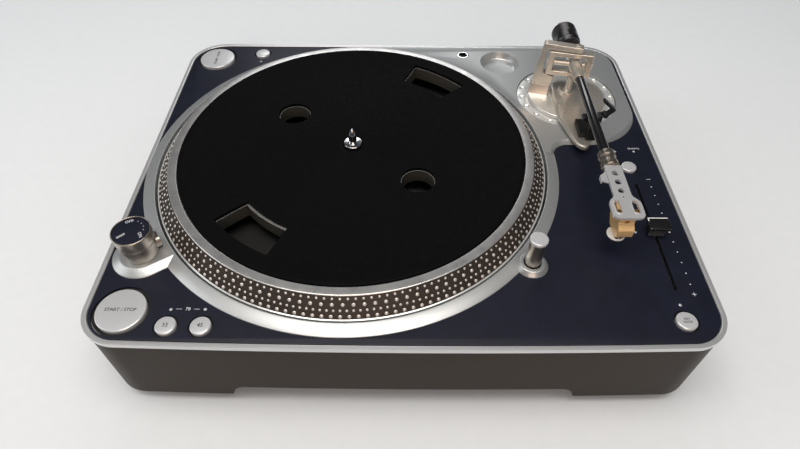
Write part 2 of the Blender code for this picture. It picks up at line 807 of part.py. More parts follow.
# Base
def base_tub(finish):
    top = DECK_HEIGHT + COVER_LOW - GAP
    tub = solid("base_tub", stack([
        (deck_outline(WALL_INSET + WALL_FOOT_ROUND), FOOT_HEIGHT),
        (deck_outline(WALL_INSET), FOOT_HEIGHT + WALL_FOOT_ROUND),
        (deck_outline(WALL_INSET), top),
    ]), finish["silver"])
    inside = prism(deck_outline(WALL_INSET + WALL), FOOT_HEIGHT - OVERRUN, top + OVERRUN)
    cut(tub, guide("tub_inside", inside))
    post_low = FOOT_HEIGHT + BOTTOM_THICKNESS + 2 * GAP
    left_posts = [(LEFT + POST_INSET, FRONT + share * BODY_DEPTH, 0) for share in POST_LEFT_SHARES]
    right_posts = [(RIGHT - POST_INSET, FRONT + share * BODY_DEPTH, 0) for share in POST_RIGHT_SHARES]
    posts = [moved(rod(POST_RADIUS, post_low, top, TINY_SIDES), place) for place in left_posts + right_posts]
    join(tub, guide("tub_posts", together(*posts)))
    half = RECESS_HALF_WIDTH + WALL
    shell_front = FRONT + WALL_INSET + WALL - GAP
    roof = FOOT_HEIGHT + RECESS_HEIGHT + WALL
    shell = box(-half, half, shell_front, FRONT + RECESS_DEPTH, FOOT_HEIGHT + GAP, roof)
    join(tub, guide("recess_shell", shell))
    low = FOOT_HEIGHT - OVERRUN
    high = FOOT_HEIGHT + RECESS_HEIGHT
    narrow = RECESS_HALF_WIDTH - RECESS_SLOPE
    mouth = [
        (-RECESS_HALF_WIDTH, low), (RECESS_HALF_WIDTH, low), (RECESS_HALF_WIDTH, FOOT_HEIGHT),
        (narrow, high), (-narrow, high), (-RECESS_HALF_WIDTH, FOOT_HEIGHT),
    ]
    cut(tub, guide("recess_mouth", across(mouth, FRONT - OVERRUN, FRONT + RECESS_DEPTH - WALL)))
    windows = together(
        wall_window(JACK_CENTRE_X, JACK_CENTRE_Z, JACK_WIDTH, JACK_HEIGHT),
        wall_window(INLET_CENTRE_X, JACK_CENTRE_Z, INLET_WIDTH, INLET_HEIGHT),
    )
    cut(tub, guide("rear_windows", windows))


def wall_window(x, z, width, height):
    opening = rectangle(x - width / 2, x + width / 2, z - height / 2, z + height / 2)
    return across(opening, REAR - WALL_INSET - WALL - OVERRUN, REAR + OVERRUN)


def bottom_cover(finish):
    low = FOOT_HEIGHT + GAP
    outline = deck_outline(WALL_INSET + WALL + GAP)
    cover = solid("bottom_cover", prism(outline, low, low + BOTTOM_THICKNESS), finish["black"])
    half = RECESS_HALF_WIDTH + WALL + GAP
    notch = box(-half, half, FRONT - OVERRUN, FRONT + RECESS_DEPTH + GAP, low - OVERRUN, low + OVERRUN)
    cut(cover, guide("bottom_notch", notch))


def feet(finish):
    profile = [
        (0, 0), (FOOT_RADIUS - FOOT_ROUND, 0), (FOOT_RADIUS, FOOT_ROUND),
        (FOOT_NECK, FOOT_HEIGHT), (0, FOOT_HEIGHT),
    ]
    for side, x in (("left", LEFT + FOOT_SIDE_INSET), ("right", RIGHT - FOOT_SIDE_INSET)):
        for end, y in (("front", FRONT + FOOT_END_INSET), ("rear", REAR - FOOT_END_INSET)):
            solid(f"foot_{end}_{side}", lathe(profile, SMALL_SIDES), finish["rubber"], (x, y, 0))


def rear_sockets(finish):
    wall_inner = REAR - WALL_INSET - WALL
    pocket_floor = REAR - WALL_INSET - JACK_POCKET
    tray_front = pocket_floor - JACK_WALL
    half_width = JACK_WIDTH / 2 - GAP
    half_height = JACK_HEIGHT / 2 - GAP
    tray = solid(
        "jack_tray",
        across(rectangle(-half_width, half_width, -half_height, half_height), tray_front, REAR - WALL_INSET),
        finish["black"],
        (JACK_CENTRE_X, 0, JACK_CENTRE_Z),
    )
    lap = JACK_WALL + GAP
    flange = rectangle(-half_width - lap, half_width + lap, -half_height - lap, half_height + lap)
    flange_front = wall_inner - GAP - JACK_WALL
    place = (JACK_CENTRE_X, 0, JACK_CENTRE_Z)
    join(tray, guide("jack_flange", across(flange, flange_front, wall_inner - GAP), place))
    inner = rectangle(
        JACK_WALL - half_width, half_width - JACK_WALL, JACK_WALL - half_height, half_height - JACK_WALL
    )
    cut(tray, guide("jack_pocket", across(inner, pocket_floor, REAR + OVERRUN), place))

    profile = [
        (PHONO_BORE, PHONO_LENGTH), (PHONO_RADIUS, PHONO_LENGTH), (PHONO_RADIUS, PHONO_FLANGE_THICKNESS),
        (PHONO_FLANGE, PHONO_FLANGE_THICKNESS), (PHONO_FLANGE, 0), (0, 0),
        (0, PHONO_LENGTH - PHONO_BORE_DEPTH), (PHONO_BORE, PHONO_LENGTH - PHONO_BORE_DEPTH),
    ]
    for side, step in (("left", -PHONO_SPACING / 2), ("right", PHONO_SPACING / 2)):
        at = (JACK_CENTRE_X + step, pocket_floor + GAP, JACK_CENTRE_Z)
        solid(f"phono_socket_{side}", rearward(lathe(profile, SMALL_SIDES)), finish["brass"], at)

    profile = [
        (0, 0), (GROUND_WAIST, 0), (GROUND_WAIST, GROUND_LENGTH / 2), (GROUND_RADIUS, GROUND_LENGTH / 2),
        (GROUND_RADIUS, GROUND_LENGTH), (0, GROUND_LENGTH),
    ]
    at = (JACK_CENTRE_X + PHONO_SPACING / 2 + GROUND_OFFSET - PHONO_RADIUS, pocket_floor + GAP, JACK_CENTRE_Z)
    solid("ground_post", rearward(lathe(profile, SMALL_SIDES)), finish["steel"], at)
    power_inlet(finish, wall_inner)


def power_inlet(finish, wall_inner):
    face = REAR - WALL_INSET - GAP
    half_width = INLET_WIDTH / 2 - GAP
    half_height = INLET_HEIGHT / 2 - GAP
    place = (INLET_CENTRE_X, 0, JACK_CENTRE_Z)
    outline = rectangle(-half_width, half_width, -half_height, half_height)
    inlet = solid("power_inlet", across(outline, face - INLET_DEPTH, face), finish["black"], place)
    lap = JACK_WALL + GAP
    flange = rectangle(-half_width - lap, half_width + lap, -half_height - lap, half_height + lap)
    join(inlet, guide("inlet_flange", across(flange, wall_inner - GAP - JACK_WALL, wall_inner - GAP), place))
    half_width = INLET_CAVITY_WIDTH / 2
    half_height = INLET_CAVITY_HEIGHT / 2
    corner = half_height / 2
    cavity = [
        (-half_width, -half_height), (half_width, -half_height), (half_width, half_height - corner),
        (half_width - corner, half_height), (corner - half_width, half_height),
        (-half_width, half_height - corner),
    ]
    cavity_floor = face - INLET_CAVITY_DEPTH
    cut(inlet, guide("inlet_cavity", across(cavity, cavity_floor, face + OVERRUN), place))
    pins = []
    for count in (-1, 0, 1):
        x = count * INLET_PIN_SPACING
        z = INLET_PIN_RISE if count == 0 else -INLET_PIN_RISE
        pin = rectangle(
            x - INLET_PIN_WIDTH / 2, x + INLET_PIN_WIDTH / 2, z - INLET_PIN_HEIGHT / 2, z + INLET_PIN_HEIGHT / 2
        )
        pins.append(across(pin, cavity_floor - INLET_PIN_WIDTH, cavity_floor + INLET_PIN_LENGTH))
    join(inlet, guide("inlet_pins", together(*pins), place))


def main_board(finish):
    low = FOOT_HEIGHT + BOTTOM_THICKNESS + 2 * GAP
    top = low + STANDOFF_HEIGHT + BOARD_THICKNESS
    centre = (0, 0)
    shape = block(centre, MAIN_BOARD_WIDTH, MAIN_BOARD_DEPTH, top - BOARD_THICKNESS, top)
    board = solid("main_board", shape, finish["board"], (*BOARD_AT, 0))
    extras = []
    half_width = MAIN_BOARD_WIDTH / 2 - STANDOFF_INSET
    half_depth = MAIN_BOARD_DEPTH / 2 - STANDOFF_INSET
    into = top - BOARD_THICKNESS / 2
    for x in (-half_width, half_width):
        for y in (-half_depth, half_depth):
            extras.append(moved(rod(STANDOFF_RADIUS, low, into, TINY_SIDES), (x, y, 0)))
    for x in (-half_width / 2, half_width / 2):
        extras.append(block((x, 0), CHIP_WIDTH, CHIP_WIDTH, into, top + CHIP_HEIGHT))
        capacitor = rod(CAPACITOR_RADIUS, into, top + CAPACITOR_HEIGHT, TINY_SIDES)
        extras.append(moved(capacitor, (x, half_depth / 2 + CAPACITOR_RADIUS, 0)))
    join(board, guide("board_parts", together(*extras), (*BOARD_AT, 0)))


def transformer(finish):
    low = FOOT_HEIGHT + BOTTOM_THICKNESS + 2 * GAP
    place = (*TRANSFORMER_AT, 0)
    centre = (0, 0)
    shape = block(centre, TRANSFORMER_WIDTH, TRANSFORMER_DEPTH - 2 * WINDING_BULGE, low, low + TRANSFORMER_HEIGHT)
    core = solid("transformer", shape, finish["core"], place)
    winding = block(
        centre, WINDING_WIDTH, TRANSFORMER_DEPTH, low + WINDING_INSET, low + TRANSFORMER_HEIGHT - WINDING_INSET
    )
    join(core, guide("transformer_winding", winding, place))


# Top cover and its raised features
def knob_boss(extra, low, high, top_radius):
    """The round field under the knob, drawn out towards the platter's ring."""
    foot = capsule((0, 0), BOSS_FOOT_RADIUS + extra, BOSS_TURN, BOSS_REACH, CORNER_STEPS)
    if top_radius is None:
        return prism(foot, low, high)
    top = capsule((0, 0), top_radius, BOSS_TURN, BOSS_REACH, CORNER_STEPS)
    return stack([(foot, low), (foot, PANEL_TOP), (top, high)])


def light_boss(low, high):
    return lathe([
        (0, low), (LIGHT_BOSS_FOOT, low), (LIGHT_BOSS_FOOT, PANEL_TOP), (LIGHT_BOSS_TOP, high), (0, high)
    ], SMALL_SIDES)


def island(low, high):
    foot = island_outline(0)
    return stack([(foot, low), (foot, PANEL_TOP), (island_outline(ISLAND_FLANK), high)])


def button_holes():
    small = SMALL_BUTTON_RADIUS + BUTTON_CLEARANCE
    return [
        hole(START_FRONT_AT, START_RADIUS + BUTTON_CLEARANCE, MEDIUM_SIDES),
        hole(START_REAR_AT, START_RADIUS + BUTTON_CLEARANCE, MEDIUM_SIDES),
        hole(SPEED_33_AT, small),
        hole(SPEED_45_AT, small),
        hole(REVERSE_AT, small),
        hole(QUARTZ_AT, QUARTZ_RADIUS + BUTTON_CLEARANCE),
        hole(KEY_LOCK_AT, KEY_LOCK_RADIUS + BUTTON_CLEARANCE),
    ]


def led_holes():
    holes = []
    for at, offset in FRONT_LEDS + REAR_LEDS + RIGHT_LEDS:
        centre = (at[0] + offset[0], at[1] + offset[1])
        holes.append(hole(centre, LED_RADIUS + LED_CLEARANCE, TINY_SIDES))
    return holes


def fader_slot():
    return block(FADER_AT, SLOT_WIDTH, 2 * SLOT_HALF_LENGTH, -OVERRUN, OVERRUN)


def top_cover(finish, deck):
    flange_low = (COVER_LOW + PANEL_FLOOR) / 2
    raised_low = (COVER_LOW + flange_low) / 2
    bend = RIM_ROUND * (1 - math.cos(math.pi / 4))
    cover = solid("top_cover", stack([
        (deck_outline(0), COVER_LOW),
        (deck_outline(0), -RIM_ROUND),
        (deck_outline(bend), -bend),
        (deck_outline(RIM_ROUND), 0),
    ]), finish["silver"], parent=deck)
    platter_at = (*PLATTER_AT, 0)
    cut(
        cover,
        guide("panel_recess", prism(deck_outline(RIM_WIDTH), PANEL_FLOOR, OVERRUN), parent=deck),
        guide(
            "well_hole",
            rod((WELL_RADIUS + WELL_WALL + RING_FOOT_RADIUS) / 2, -OVERRUN, OVERRUN, LARGE_SIDES),
            platter_at,
            parent=deck,
        ),
    )
    ring = lathe([
        (WELL_RADIUS, RING_CREST),
        (WELL_RADIUS + RING_CREST_WIDTH, RING_CREST),
        (RING_FOOT_RADIUS, PANEL_TOP),
        (RING_FOOT_RADIUS, flange_low),
        (WELL_RADIUS + WELL_WALL, flange_low),
        (WELL_RADIUS + WELL_WALL, -WELL_DEPTH - WELL_WALL),
        (MOTOR_OPENING_RADIUS, -WELL_DEPTH - WELL_WALL),
        (MOTOR_OPENING_RADIUS, -WELL_DEPTH),
        (WELL_RADIUS, -WELL_DEPTH),
    ], LARGE_SIDES)
    space = guide(
        "platter_space",
        rod(WELL_RADIUS + RING_CREST_WIDTH / 2, -OVERRUN, OVERRUN, LARGE_SIDES),
        platter_at,
        parent=deck,
    )
    boss = guide(
        "knob_boss", knob_boss(0, raised_low, RAISED_TOP, BOSS_TOP_RADIUS), (*KNOB_AT, 0), parent=deck
    )
    lamp_boss = guide("light_boss", light_boss(raised_low, RAISED_TOP), (*LIGHT_AT, 0), parent=deck)
    field = guide("island", island(raised_low, RAISED_TOP), parent=deck)
    for raised in (boss, lamp_boss, field):
        cut(raised, space)
    join(cover, guide("well_ring", ring, platter_at, parent=deck), boss, lamp_boss, field)
    dish_floor = RAISED_TOP - DISH_DEPTH
    dish_tub = rod(DISH_RADIUS + DISH_WALL, dish_floor - DISH_WALL, PANEL_TOP, MEDIUM_SIDES)
    join(cover, guide("dish_tub", dish_tub, (*DISH_AT, 0), parent=deck))
    dish = lathe([
        (0, dish_floor), (DISH_FLOOR_RADIUS, dish_floor), (DISH_RADIUS, RAISED_TOP),
        (DISH_RADIUS, OVERRUN), (0, OVERRUN),
    ], MEDIUM_SIDES)
    dial_seat = rod(DIAL_RADIUS + DIAL_CLEARANCE, PANEL_FLOOR, OVERRUN, MEDIUM_SIDES)
    cut(
        cover,
        guide("adapter_dish", dish, (*DISH_AT, 0), parent=deck),
        guide("dial_seat", dial_seat, (*ARM_AT, 0), parent=deck),
        guide("deck_holes", together(*button_holes(), *led_holes(), fader_slot(), *cover_holes()), parent=deck),
    )


def cover_holes():
    return [
        hole(KNOB_AT, KNOB_SHAFT_RADIUS + BUTTON_CLEARANCE),
        hole(LIGHT_AT, LIGHT_HOLE_RADIUS),
        hole(SOCKET_AT, SOCKET_RADIUS + GAP),
        hole(ARM_AT, COLUMN_RADIUS + 2 * BUTTON_CLEARANCE, MEDIUM_SIDES),
    ]


def panel_cutters(deck):
    """What the painted panels leave free, shared by both of them."""
    low = PANEL_LOW - OVERRUN
    return [
        guide("panel_ring", rod(RING_FOOT_RADIUS + GAP, low, OVERRUN, LARGE_SIDES), (*PLATTER_AT, 0), parent=deck),
        guide("panel_boss", knob_boss(GAP, low, OVERRUN, None), (*KNOB_AT, 0), parent=deck),
        guide("panel_light", rod(LIGHT_BOSS_FOOT + GAP, low, OVERRUN, SMALL_SIDES), (*LIGHT_AT, 0), parent=deck),
        guide("panel_island", prism(island_outline(-GAP), low, OVERRUN), parent=deck),
        guide("panel_holes", together(*button_holes(), *led_holes(), fader_slot()), parent=deck),
    ]


def deck_panels(finish, deck):
    cutters = panel_cutters(deck)
    low = PANEL_LOW - OVERRUN
    far_left = LEFT - OVERRUN
    far_right = RIGHT + OVERRUN
    far_front = FRONT - OVERRUN
    far_rear = REAR + OVERRUN
    x, y = PLATTER_AT
    island_start = REAR - ISLAND_FRONT_INSET + ISLAND_FRONT_CORNER
    shape = prism(deck_outline(RIM_WIDTH + GAP), PANEL_LOW, PANEL_TOP)
    front = solid("deck_panel_front", shape, finish["navy"], parent=deck)
    cut(
        front,
        guide("front_panel_left_end", box(far_left, x, y - PANEL_TIP, far_rear, low, OVERRUN), parent=deck),
        guide("front_panel_right_end", box(x, far_right, island_start, far_rear, low, OVERRUN), parent=deck),
        *cutters,
    )
    shape = prism(deck_outline(RIM_WIDTH + GAP), PANEL_LOW, PANEL_TOP)
    rear = solid("deck_panel_rear", shape, finish["navy"], parent=deck)
    cut(
        rear,
        guide("rear_panel_front_end", box(far_left, far_right, far_front, y + PANEL_TIP, low, OVERRUN), parent=deck),
        guide("rear_panel_right_end", box(x, far_right, far_front, far_rear, low, OVERRUN), parent=deck),
        *cutters,
    )


# Motor and platter
def motor(finish, deck):
    place = (*PLATTER_AT, 0)
    plate_top = -WELL_DEPTH - WELL_WALL - GAP
    plate_low = plate_top - MOTOR_PLATE
    plate_radius = MOTOR_OPENING_RADIUS + MOTOR_PLATE_LAP
    bore = SPINDLE_RADIUS + GAP
    low = BEARING_TOP - BEARING_DEPTH
    housing = lathe([
        (bore, BEARING_TOP), (BEARING_RADIUS, BEARING_TOP), (BEARING_RADIUS, plate_top),
        (plate_radius, plate_top), (plate_radius, plate_low), (BEARING_RADIUS, plate_low),
        (BEARING_RADIUS, low), (0, low), (0, low + BEARING_FLOOR), (bore, low + BEARING_FLOOR),
    ], MEDIUM_SIDES)
    solid("bearing_housing", housing, finish["steel"], place, parent=deck)
    board_low = plate_top + GAP
    board_top = board_low + STATOR_BOARD
    inner = BEARING_RADIUS + GAP
    core_radius = COIL_CIRCLE - COIL_RADIUS - 2 * GAP
    core_top = board_top + COIL_HEIGHT
    stator = solid("motor_stator", lathe([
        (inner, board_low), (STATOR_RADIUS, board_low), (STATOR_RADIUS, board_top),
        (core_radius, board_top), (core_radius, core_top), (inner, core_top),
    ], MEDIUM_SIDES), finish["copper"], place, parent=deck)
    coils = []
    for x, y in circle(COIL_CIRCLE, COIL_COUNT):
        coils.append(moved(rod(COIL_RADIUS, board_low + STATOR_BOARD / 2, core_top, TINY_SIDES), (x, y, 0)))
    join(stator, guide("stator_coils", together(*coils), place, parent=deck))


def platter_openings(low, high, grow):
    """The two round finger holes and the two curved ones, each wider all round by grow."""
    shapes = []
    for angle in ROUND_HOLE_ANGLES:
        x, y = arc((0, 0), ROUND_HOLE_CENTRE, angle, angle, 1)[0]
        shapes.append(moved(rod(ROUND_HOLE_RADIUS + grow, low, high, SMALL_SIDES), (x, y, 0)))
    widen = math.degrees(grow / SECTOR_INNER_RADIUS)
    for start, end in SECTOR_ANGLES:
        outline = sector(SECTOR_INNER_RADIUS - grow, SECTOR_OUTER_RADIUS + grow, start - widen, end + widen)
        shapes.append(prism(outline, low, high))
    return together(*shapes)


def platter(finish, axis):
    bore = SPINDLE_RADIUS + GAP
    seat = MAT_TOP - MAT_THICKNESS - GAP
    under = seat - PLATTER_DISC
    slope = (STROBE_LOW_RADIUS - STROBE_TOP_RADIUS) / (PLATTER_RIM_TOP - STROBE_LOW_HEIGHT)
    skirt_top = PLATTER_LIP_LOW + PLATTER_LIP_WALL
    inner_top = STROBE_TOP_RADIUS + (PLATTER_RIM_TOP - under) * slope - PLATTER_SKIN
    inner_low = STROBE_TOP_RADIUS + (PLATTER_RIM_TOP - skirt_top) * slope - PLATTER_SKIN
    seat_radius = MAT_RADIUS + MAT_CLEARANCE
    body = solid("platter", lathe([
        (bore, seat), (seat_radius, seat), (seat_radius, PLATTER_RIM_TOP),
        (STROBE_TOP_RADIUS, PLATTER_RIM_TOP), (STROBE_LOW_RADIUS, STROBE_LOW_HEIGHT),
        (PLATTER_RADIUS, PLATTER_LIP_TOP), (PLATTER_RADIUS, PLATTER_LIP_LOW),
        (PLATTER_RADIUS - PLATTER_LIP_WALL, PLATTER_LIP_LOW), (inner_low, skirt_top), (inner_top, under),
        (HUB_RADIUS, under), (HUB_RADIUS, under - HUB_DEPTH), (bore, under - HUB_DEPTH),
    ], LARGE_SIDES), finish["aluminium"], parent=axis)
    collars = platter_openings(under - COLLAR_DEPTH, under + PLATTER_DISC / 2, COLLAR_WALL)
    join(body, guide("platter_collars", collars, parent=axis))
    cut(body, guide("platter_openings", platter_openings(-OVERRUN, OVERRUN, 0), parent=axis))

    hub_hole = SPINDLE_FLANGE_RADIUS + MAT_CLEARANCE
    low = MAT_TOP - MAT_THICKNESS
    mat = solid("platter_mat", lathe([
        (hub_hole, low), (MAT_RADIUS, low), (MAT_RADIUS, MAT_TOP), (hub_hole, MAT_TOP)
    ], LARGE_SIDES), finish["mat"], parent=axis)
    cut(mat, guide("mat_openings", platter_openings(low - OVERRUN, MAT_TOP + OVERRUN, -GAP), parent=axis))

    flange_top = MAT_TOP + SPINDLE_FLANGE_RISE
    end = BEARING_TOP - BEARING_DEPTH + BEARING_FLOOR + GAP
    solid("spindle", lathe([
        (0, SPINDLE_TOP), (SPINDLE_TIP, SPINDLE_TOP), (SPINDLE_RADIUS, SPINDLE_TOP - SPINDLE_CONE),
        (SPINDLE_RADIUS, flange_top), (SPINDLE_FLANGE_RADIUS, flange_top), (SPINDLE_FLANGE_RADIUS, low),
        (SPINDLE_RADIUS, low), (SPINDLE_RADIUS, end), (0, end),
    ], SMALL_SIDES), finish["chrome"], parent=axis)

    top = under - GAP
    solid("rotor_magnet", lathe([
        (MAGNET_INNER, top), (MAGNET_OUTER, top), (MAGNET_OUTER, top - MAGNET_HEIGHT),
        (MAGNET_INNER, top - MAGNET_HEIGHT),
    ], MEDIUM_SIDES), finish["magnet"], parent=axis)


# Power knob, strobe and target light
def oval(width, height, start, end):
    """An oval bar along +X, width across and height upright."""
    outline = rounded_rectangle(-height / 2, height / 2, -width / 2, width / 2, height / 2 - GAP)
    return sideways(prism(outline, start, end))


def strobe_tower(finish, deck):
    bore = KNOB_SHAFT_RADIUS + GAP
    low = RAISED_TOP + GAP
    place = (*KNOB_AT, 0)
    tower = solid("strobe_housing", lathe([
        (bore, low), (TOWER_FOOT_RADIUS, low), (TOWER_SEAM_RADIUS, TOWER_SEAM_TOP), (bore, TOWER_SEAM_TOP)
    ], MEDIUM_SIDES), finish["brushed"], place, parent=deck)
    hood_at = (*KNOB_AT, HOOD_CENTRE_HEIGHT)
    window_inner = HOOD_LENGTH - WINDOW_DROP - WINDOW_THICKNESS
    hood = oval(HOOD_WIDTH, HOOD_HEIGHT, HOOD_LENGTH / 2, HOOD_LENGTH)
    join(tower, guide("strobe_hood", hood, hood_at, BOSS_TURN, deck))
    inner_width = HOOD_WIDTH - 2 * HOOD_WALL
    inner_height = HOOD_HEIGHT - 2 * HOOD_WALL
    pocket = oval(inner_width, inner_height, window_inner - GAP, HOOD_LENGTH + OVERRUN)
    cut(tower, guide("strobe_pocket", pocket, hood_at, BOSS_TURN, deck))
    window = oval(inner_width - 2 * GAP, inner_height - 2 * GAP, window_inner, window_inner + WINDOW_THICKNESS)
    solid("strobe_window", window, finish["window"], hood_at, BOSS_TURN, deck)


def power_knob(finish, axis, deck):
    low = TOWER_SEAM_TOP + GAP
    rim_inner = KNOB_TOP_RADIUS - KNOB_RIM
    floor = KNOB_TOP - KNOB_DISC_DROP - KNOB_DISC_THICKNESS - GAP
    solid("power_knob", lathe([
        (0, -KNOB_SHAFT_DEPTH), (KNOB_SHAFT_RADIUS, -KNOB_SHAFT_DEPTH), (KNOB_SHAFT_RADIUS, low),
        (TOWER_SEAM_RADIUS, low), (KNOB_TOP_RADIUS, KNOB_TOP - GAP), (KNOB_TOP_RADIUS - GAP, KNOB_TOP),
        (rim_inner, KNOB_TOP), (rim_inner, floor), (0, floor),
    ], MEDIUM_SIDES), finish["brushed"], parent=axis)
    disc = rim_inner - GAP
    solid(
        "power_knob_disc",
        rod(disc, floor + GAP, floor + GAP + KNOB_DISC_THICKNESS, MEDIUM_SIDES),
        finish["navy"],
        parent=axis,
    )
    top = COVER_LOW - GAP
    end = top - POWER_SWITCH_HEIGHT
    bore = KNOB_SHAFT_RADIUS + GAP
    hole_floor = -KNOB_SHAFT_DEPTH - GAP
    switch = lathe([
        (bore, top), (POWER_SWITCH_RADIUS, top), (POWER_SWITCH_RADIUS, end), (0, end),
        (0, hole_floor), (bore, hole_floor),
    ], SMALL_SIDES)
    solid("power_switch", switch, finish["black"], (*KNOB_AT, 0), parent=deck)


def target_light(finish, deck):
    place = (*LIGHT_AT, 0)
    cap_low = LIGHT_TOP - LIGHT_CAP_HEIGHT
    edge = LIGHT_CAP_RADIUS - LIGHT_RADIUS
    tube = solid("target_light", lathe([
        (0, -LIGHT_INSIDE_LENGTH), (LIGHT_RADIUS, -LIGHT_INSIDE_LENGTH), (LIGHT_RADIUS, cap_low),
        (LIGHT_CAP_RADIUS, cap_low + edge), (LIGHT_CAP_RADIUS, LIGHT_TOP - edge), (LIGHT_RADIUS, LIGHT_TOP),
        (0, LIGHT_TOP),
    ], SMALL_SIDES), finish["button"], place, parent=deck)
    turn = math.degrees(math.atan2(PLATTER_AT[1] - LIGHT_AT[1], PLATTER_AT[0] - LIGHT_AT[0]))
    lamp = sideways(rod(LAMP_OPENING, LIGHT_RADIUS / 2, LIGHT_RADIUS + OVERRUN, TINY_SIDES))
    cut(tube, guide("lamp_opening", lamp, (*LIGHT_AT, LAMP_HEIGHT), turn, deck))
    top = -WELL_DEPTH - WELL_WALL - GAP
    floor = -LIGHT_INSIDE_LENGTH - LIGHT_TRAVEL - GAP
    inner = LIGHT_RADIUS + GAP
    outer = inner + SLEEVE_WALL
    solid("light_sleeve", lathe([
        (inner, top), (outer, top), (outer, floor - SLEEVE_FLOOR), (0, floor - SLEEVE_FLOOR),
        (0, floor), (inner, floor),
    ], SMALL_SIDES), finish["black"], place, parent=deck)


# Buttons, boards and the pitch fader
def button(name, at, radius, finish, deck):
    low = BUTTON_RISE - BUTTON_BODY
    under = BUTTON_RISE - BUTTON_WALL
    sides = MEDIUM_SIDES if radius > START_RADIUS / 2 else SMALL_SIDES
    solid(name, lathe([
        (0, BUTTON_RISE), (radius - BUTTON_ROUND, BUTTON_RISE), (radius, BUTTON_RISE - BUTTON_ROUND),
        (radius, low), (radius - BUTTON_WALL, low), (radius - BUTTON_WALL, under),
        (BUTTON_STEM_RADIUS, under), (BUTTON_STEM_RADIUS, low), (0, low),
    ], sides), finish["button"], (*at, 0), parent=deck)


def buttons(finish, deck):
    button("start_stop_front", START_FRONT_AT, START_RADIUS, finish, deck)
    button("start_stop_rear", START_REAR_AT, START_RADIUS, finish, deck)
    button("speed_33_button", SPEED_33_AT, SMALL_BUTTON_RADIUS, finish, deck)
    button("speed_45_button", SPEED_45_AT, SMALL_BUTTON_RADIUS, finish, deck)
    button("reverse_button", REVERSE_AT, SMALL_BUTTON_RADIUS, finish, deck)
    button("quartz_button", QUARTZ_AT, QUARTZ_RADIUS, finish, deck)
    button("key_lock_button", KEY_LOCK_AT, KEY_LOCK_RADIUS, finish, deck)


def switch_board(name, drop, switch_places, leds, posts, finish, deck):
    """A board hung from the cover, with a switch under each button and the lamps up to the panel."""
    lamps = [(at[0] + offset[0], at[1] + offset[1]) for at, offset in leds]
    xs = [x for x, _ in switch_places + lamps]
    ys = [y for _, y in switch_places + lamps]
    left, right = min(xs) - BOARD_MARGIN, max(xs) + BOARD_MARGIN
    front, rear = min(ys) - BOARD_MARGIN, max(ys) + BOARD_MARGIN
    board = solid(
        name, box(left, right, front, rear, -drop - BOARD_THICKNESS, -drop), finish["board"], parent=deck
    )
    into = -drop - BOARD_THICKNESS / 2
    switch_top = BUTTON_RISE - BUTTON_BODY - BUTTON_TRAVEL - GAP
    extras = []
    for at in switch_places:
        extras.append(block(at, SWITCH_SIDE, SWITCH_SIDE, into, switch_top))
    for x, y in lamps:
        extras.append(moved(rod(LED_RADIUS, into, PANEL_TOP - LED_SINK, TINY_SIDES), (x, y, 0)))
    for at in posts:
        extras.append(moved(rod(BOARD_POST_RADIUS, into, COVER_LOW - GAP, TINY_SIDES), (*at, 0)))
    join(board, guide(f"{name}_parts", together(*extras), parent=deck))


def beside(at, side):
    return (at[0] + side * BOARD_POST_REACH, at[1])


def boards(finish, deck):
    places = [START_FRONT_AT, SPEED_33_AT, SPEED_45_AT]
    posts = [beside(SPEED_33_AT, -1), beside(SPEED_33_AT, 1)]
    switch_board("switch_board_front", BOARD_DROP, places, FRONT_LEDS, posts, finish, deck)
    post = beside(REVERSE_AT, -1)
    posts = [post, (post[0], post[1] + LED_REVERSE_OFFSET[1])]
    switch_board("switch_board_rear", BOARD_DROP, [START_REAR_AT, REVERSE_AT], REAR_LEDS, posts, finish, deck)
    drop = FADER_BODY_DROP + FADER_BODY_HEIGHT + GAP
    places = [QUARTZ_AT, KEY_LOCK_AT]
    posts = [beside(at, side) for at in places for side in (-1, 1)]
    switch_board("pitch_board", drop, places, RIGHT_LEDS, posts, finish, deck)


def pitch_fader(finish, axis, deck):
    low = -FADER_BODY_DROP - FADER_BODY_HEIGHT
    half = SLOT_HALF_LENGTH + FADER_BODY_LAP
    centre = (0, 0)
    shape = block(centre, FADER_BODY_WIDTH, 2 * half, low, -FADER_BODY_DROP)
    body = solid("pitch_fader_body", shape, finish["steel"], (*FADER_AT, 0), parent=deck)
    groove_floor = -FADER_BODY_DROP - LEVER_REACH - 2 * GAP
    groove = block(centre, SLOT_WIDTH, 2 * SLOT_HALF_LENGTH, groove_floor, OVERRUN)
    cut(body, guide("fader_groove", groove, (*FADER_AT, 0), parent=deck))
    lever = block(centre, LEVER_WIDTH, LEVER_LENGTH, -FADER_BODY_DROP - LEVER_REACH, CAP_RISE - GAP)
    solid("pitch_lever", lever, finish["steel"], parent=axis)

    def cap_outline(inset):
        width = CAP_WIDTH / 2 - inset
        depth = CAP_DEPTH / 2 - inset
        return rounded_rectangle(-width, width, -depth, depth, CAP_ROUND, TINY_STEPS)

    cap = stack([
        (cap_outline(CAP_WAIST_INSET), CAP_RISE),
        (cap_outline(CAP_WAIST_INSET), CAP_WAIST_HEIGHT),
        (cap_outline(0), CAP_TOP - 2 * CAP_ROUND),
        (cap_outline(0), CAP_TOP - CAP_ROUND),
        (cap_outline(CAP_ROUND / 2), CAP_TOP),
    ])
    solid("pitch_cap", cap, finish["black"], parent=axis)


def headshell_socket(finish, deck):
    top = RAISED_TOP + SOCKET_PROUD
    low = top - SOCKET_LENGTH
    solid("headshell_socket", lathe([
        (SOCKET_BORE, top), (SOCKET_RADIUS, top), (SOCKET_RADIUS, low), (0, low),
        (0, low + SOCKET_FLOOR), (SOCKET_BORE, low + SOCKET_FLOOR),
    ], SMALL_SIDES), finish["steel"], (*SOCKET_AT, 0), parent=deck)


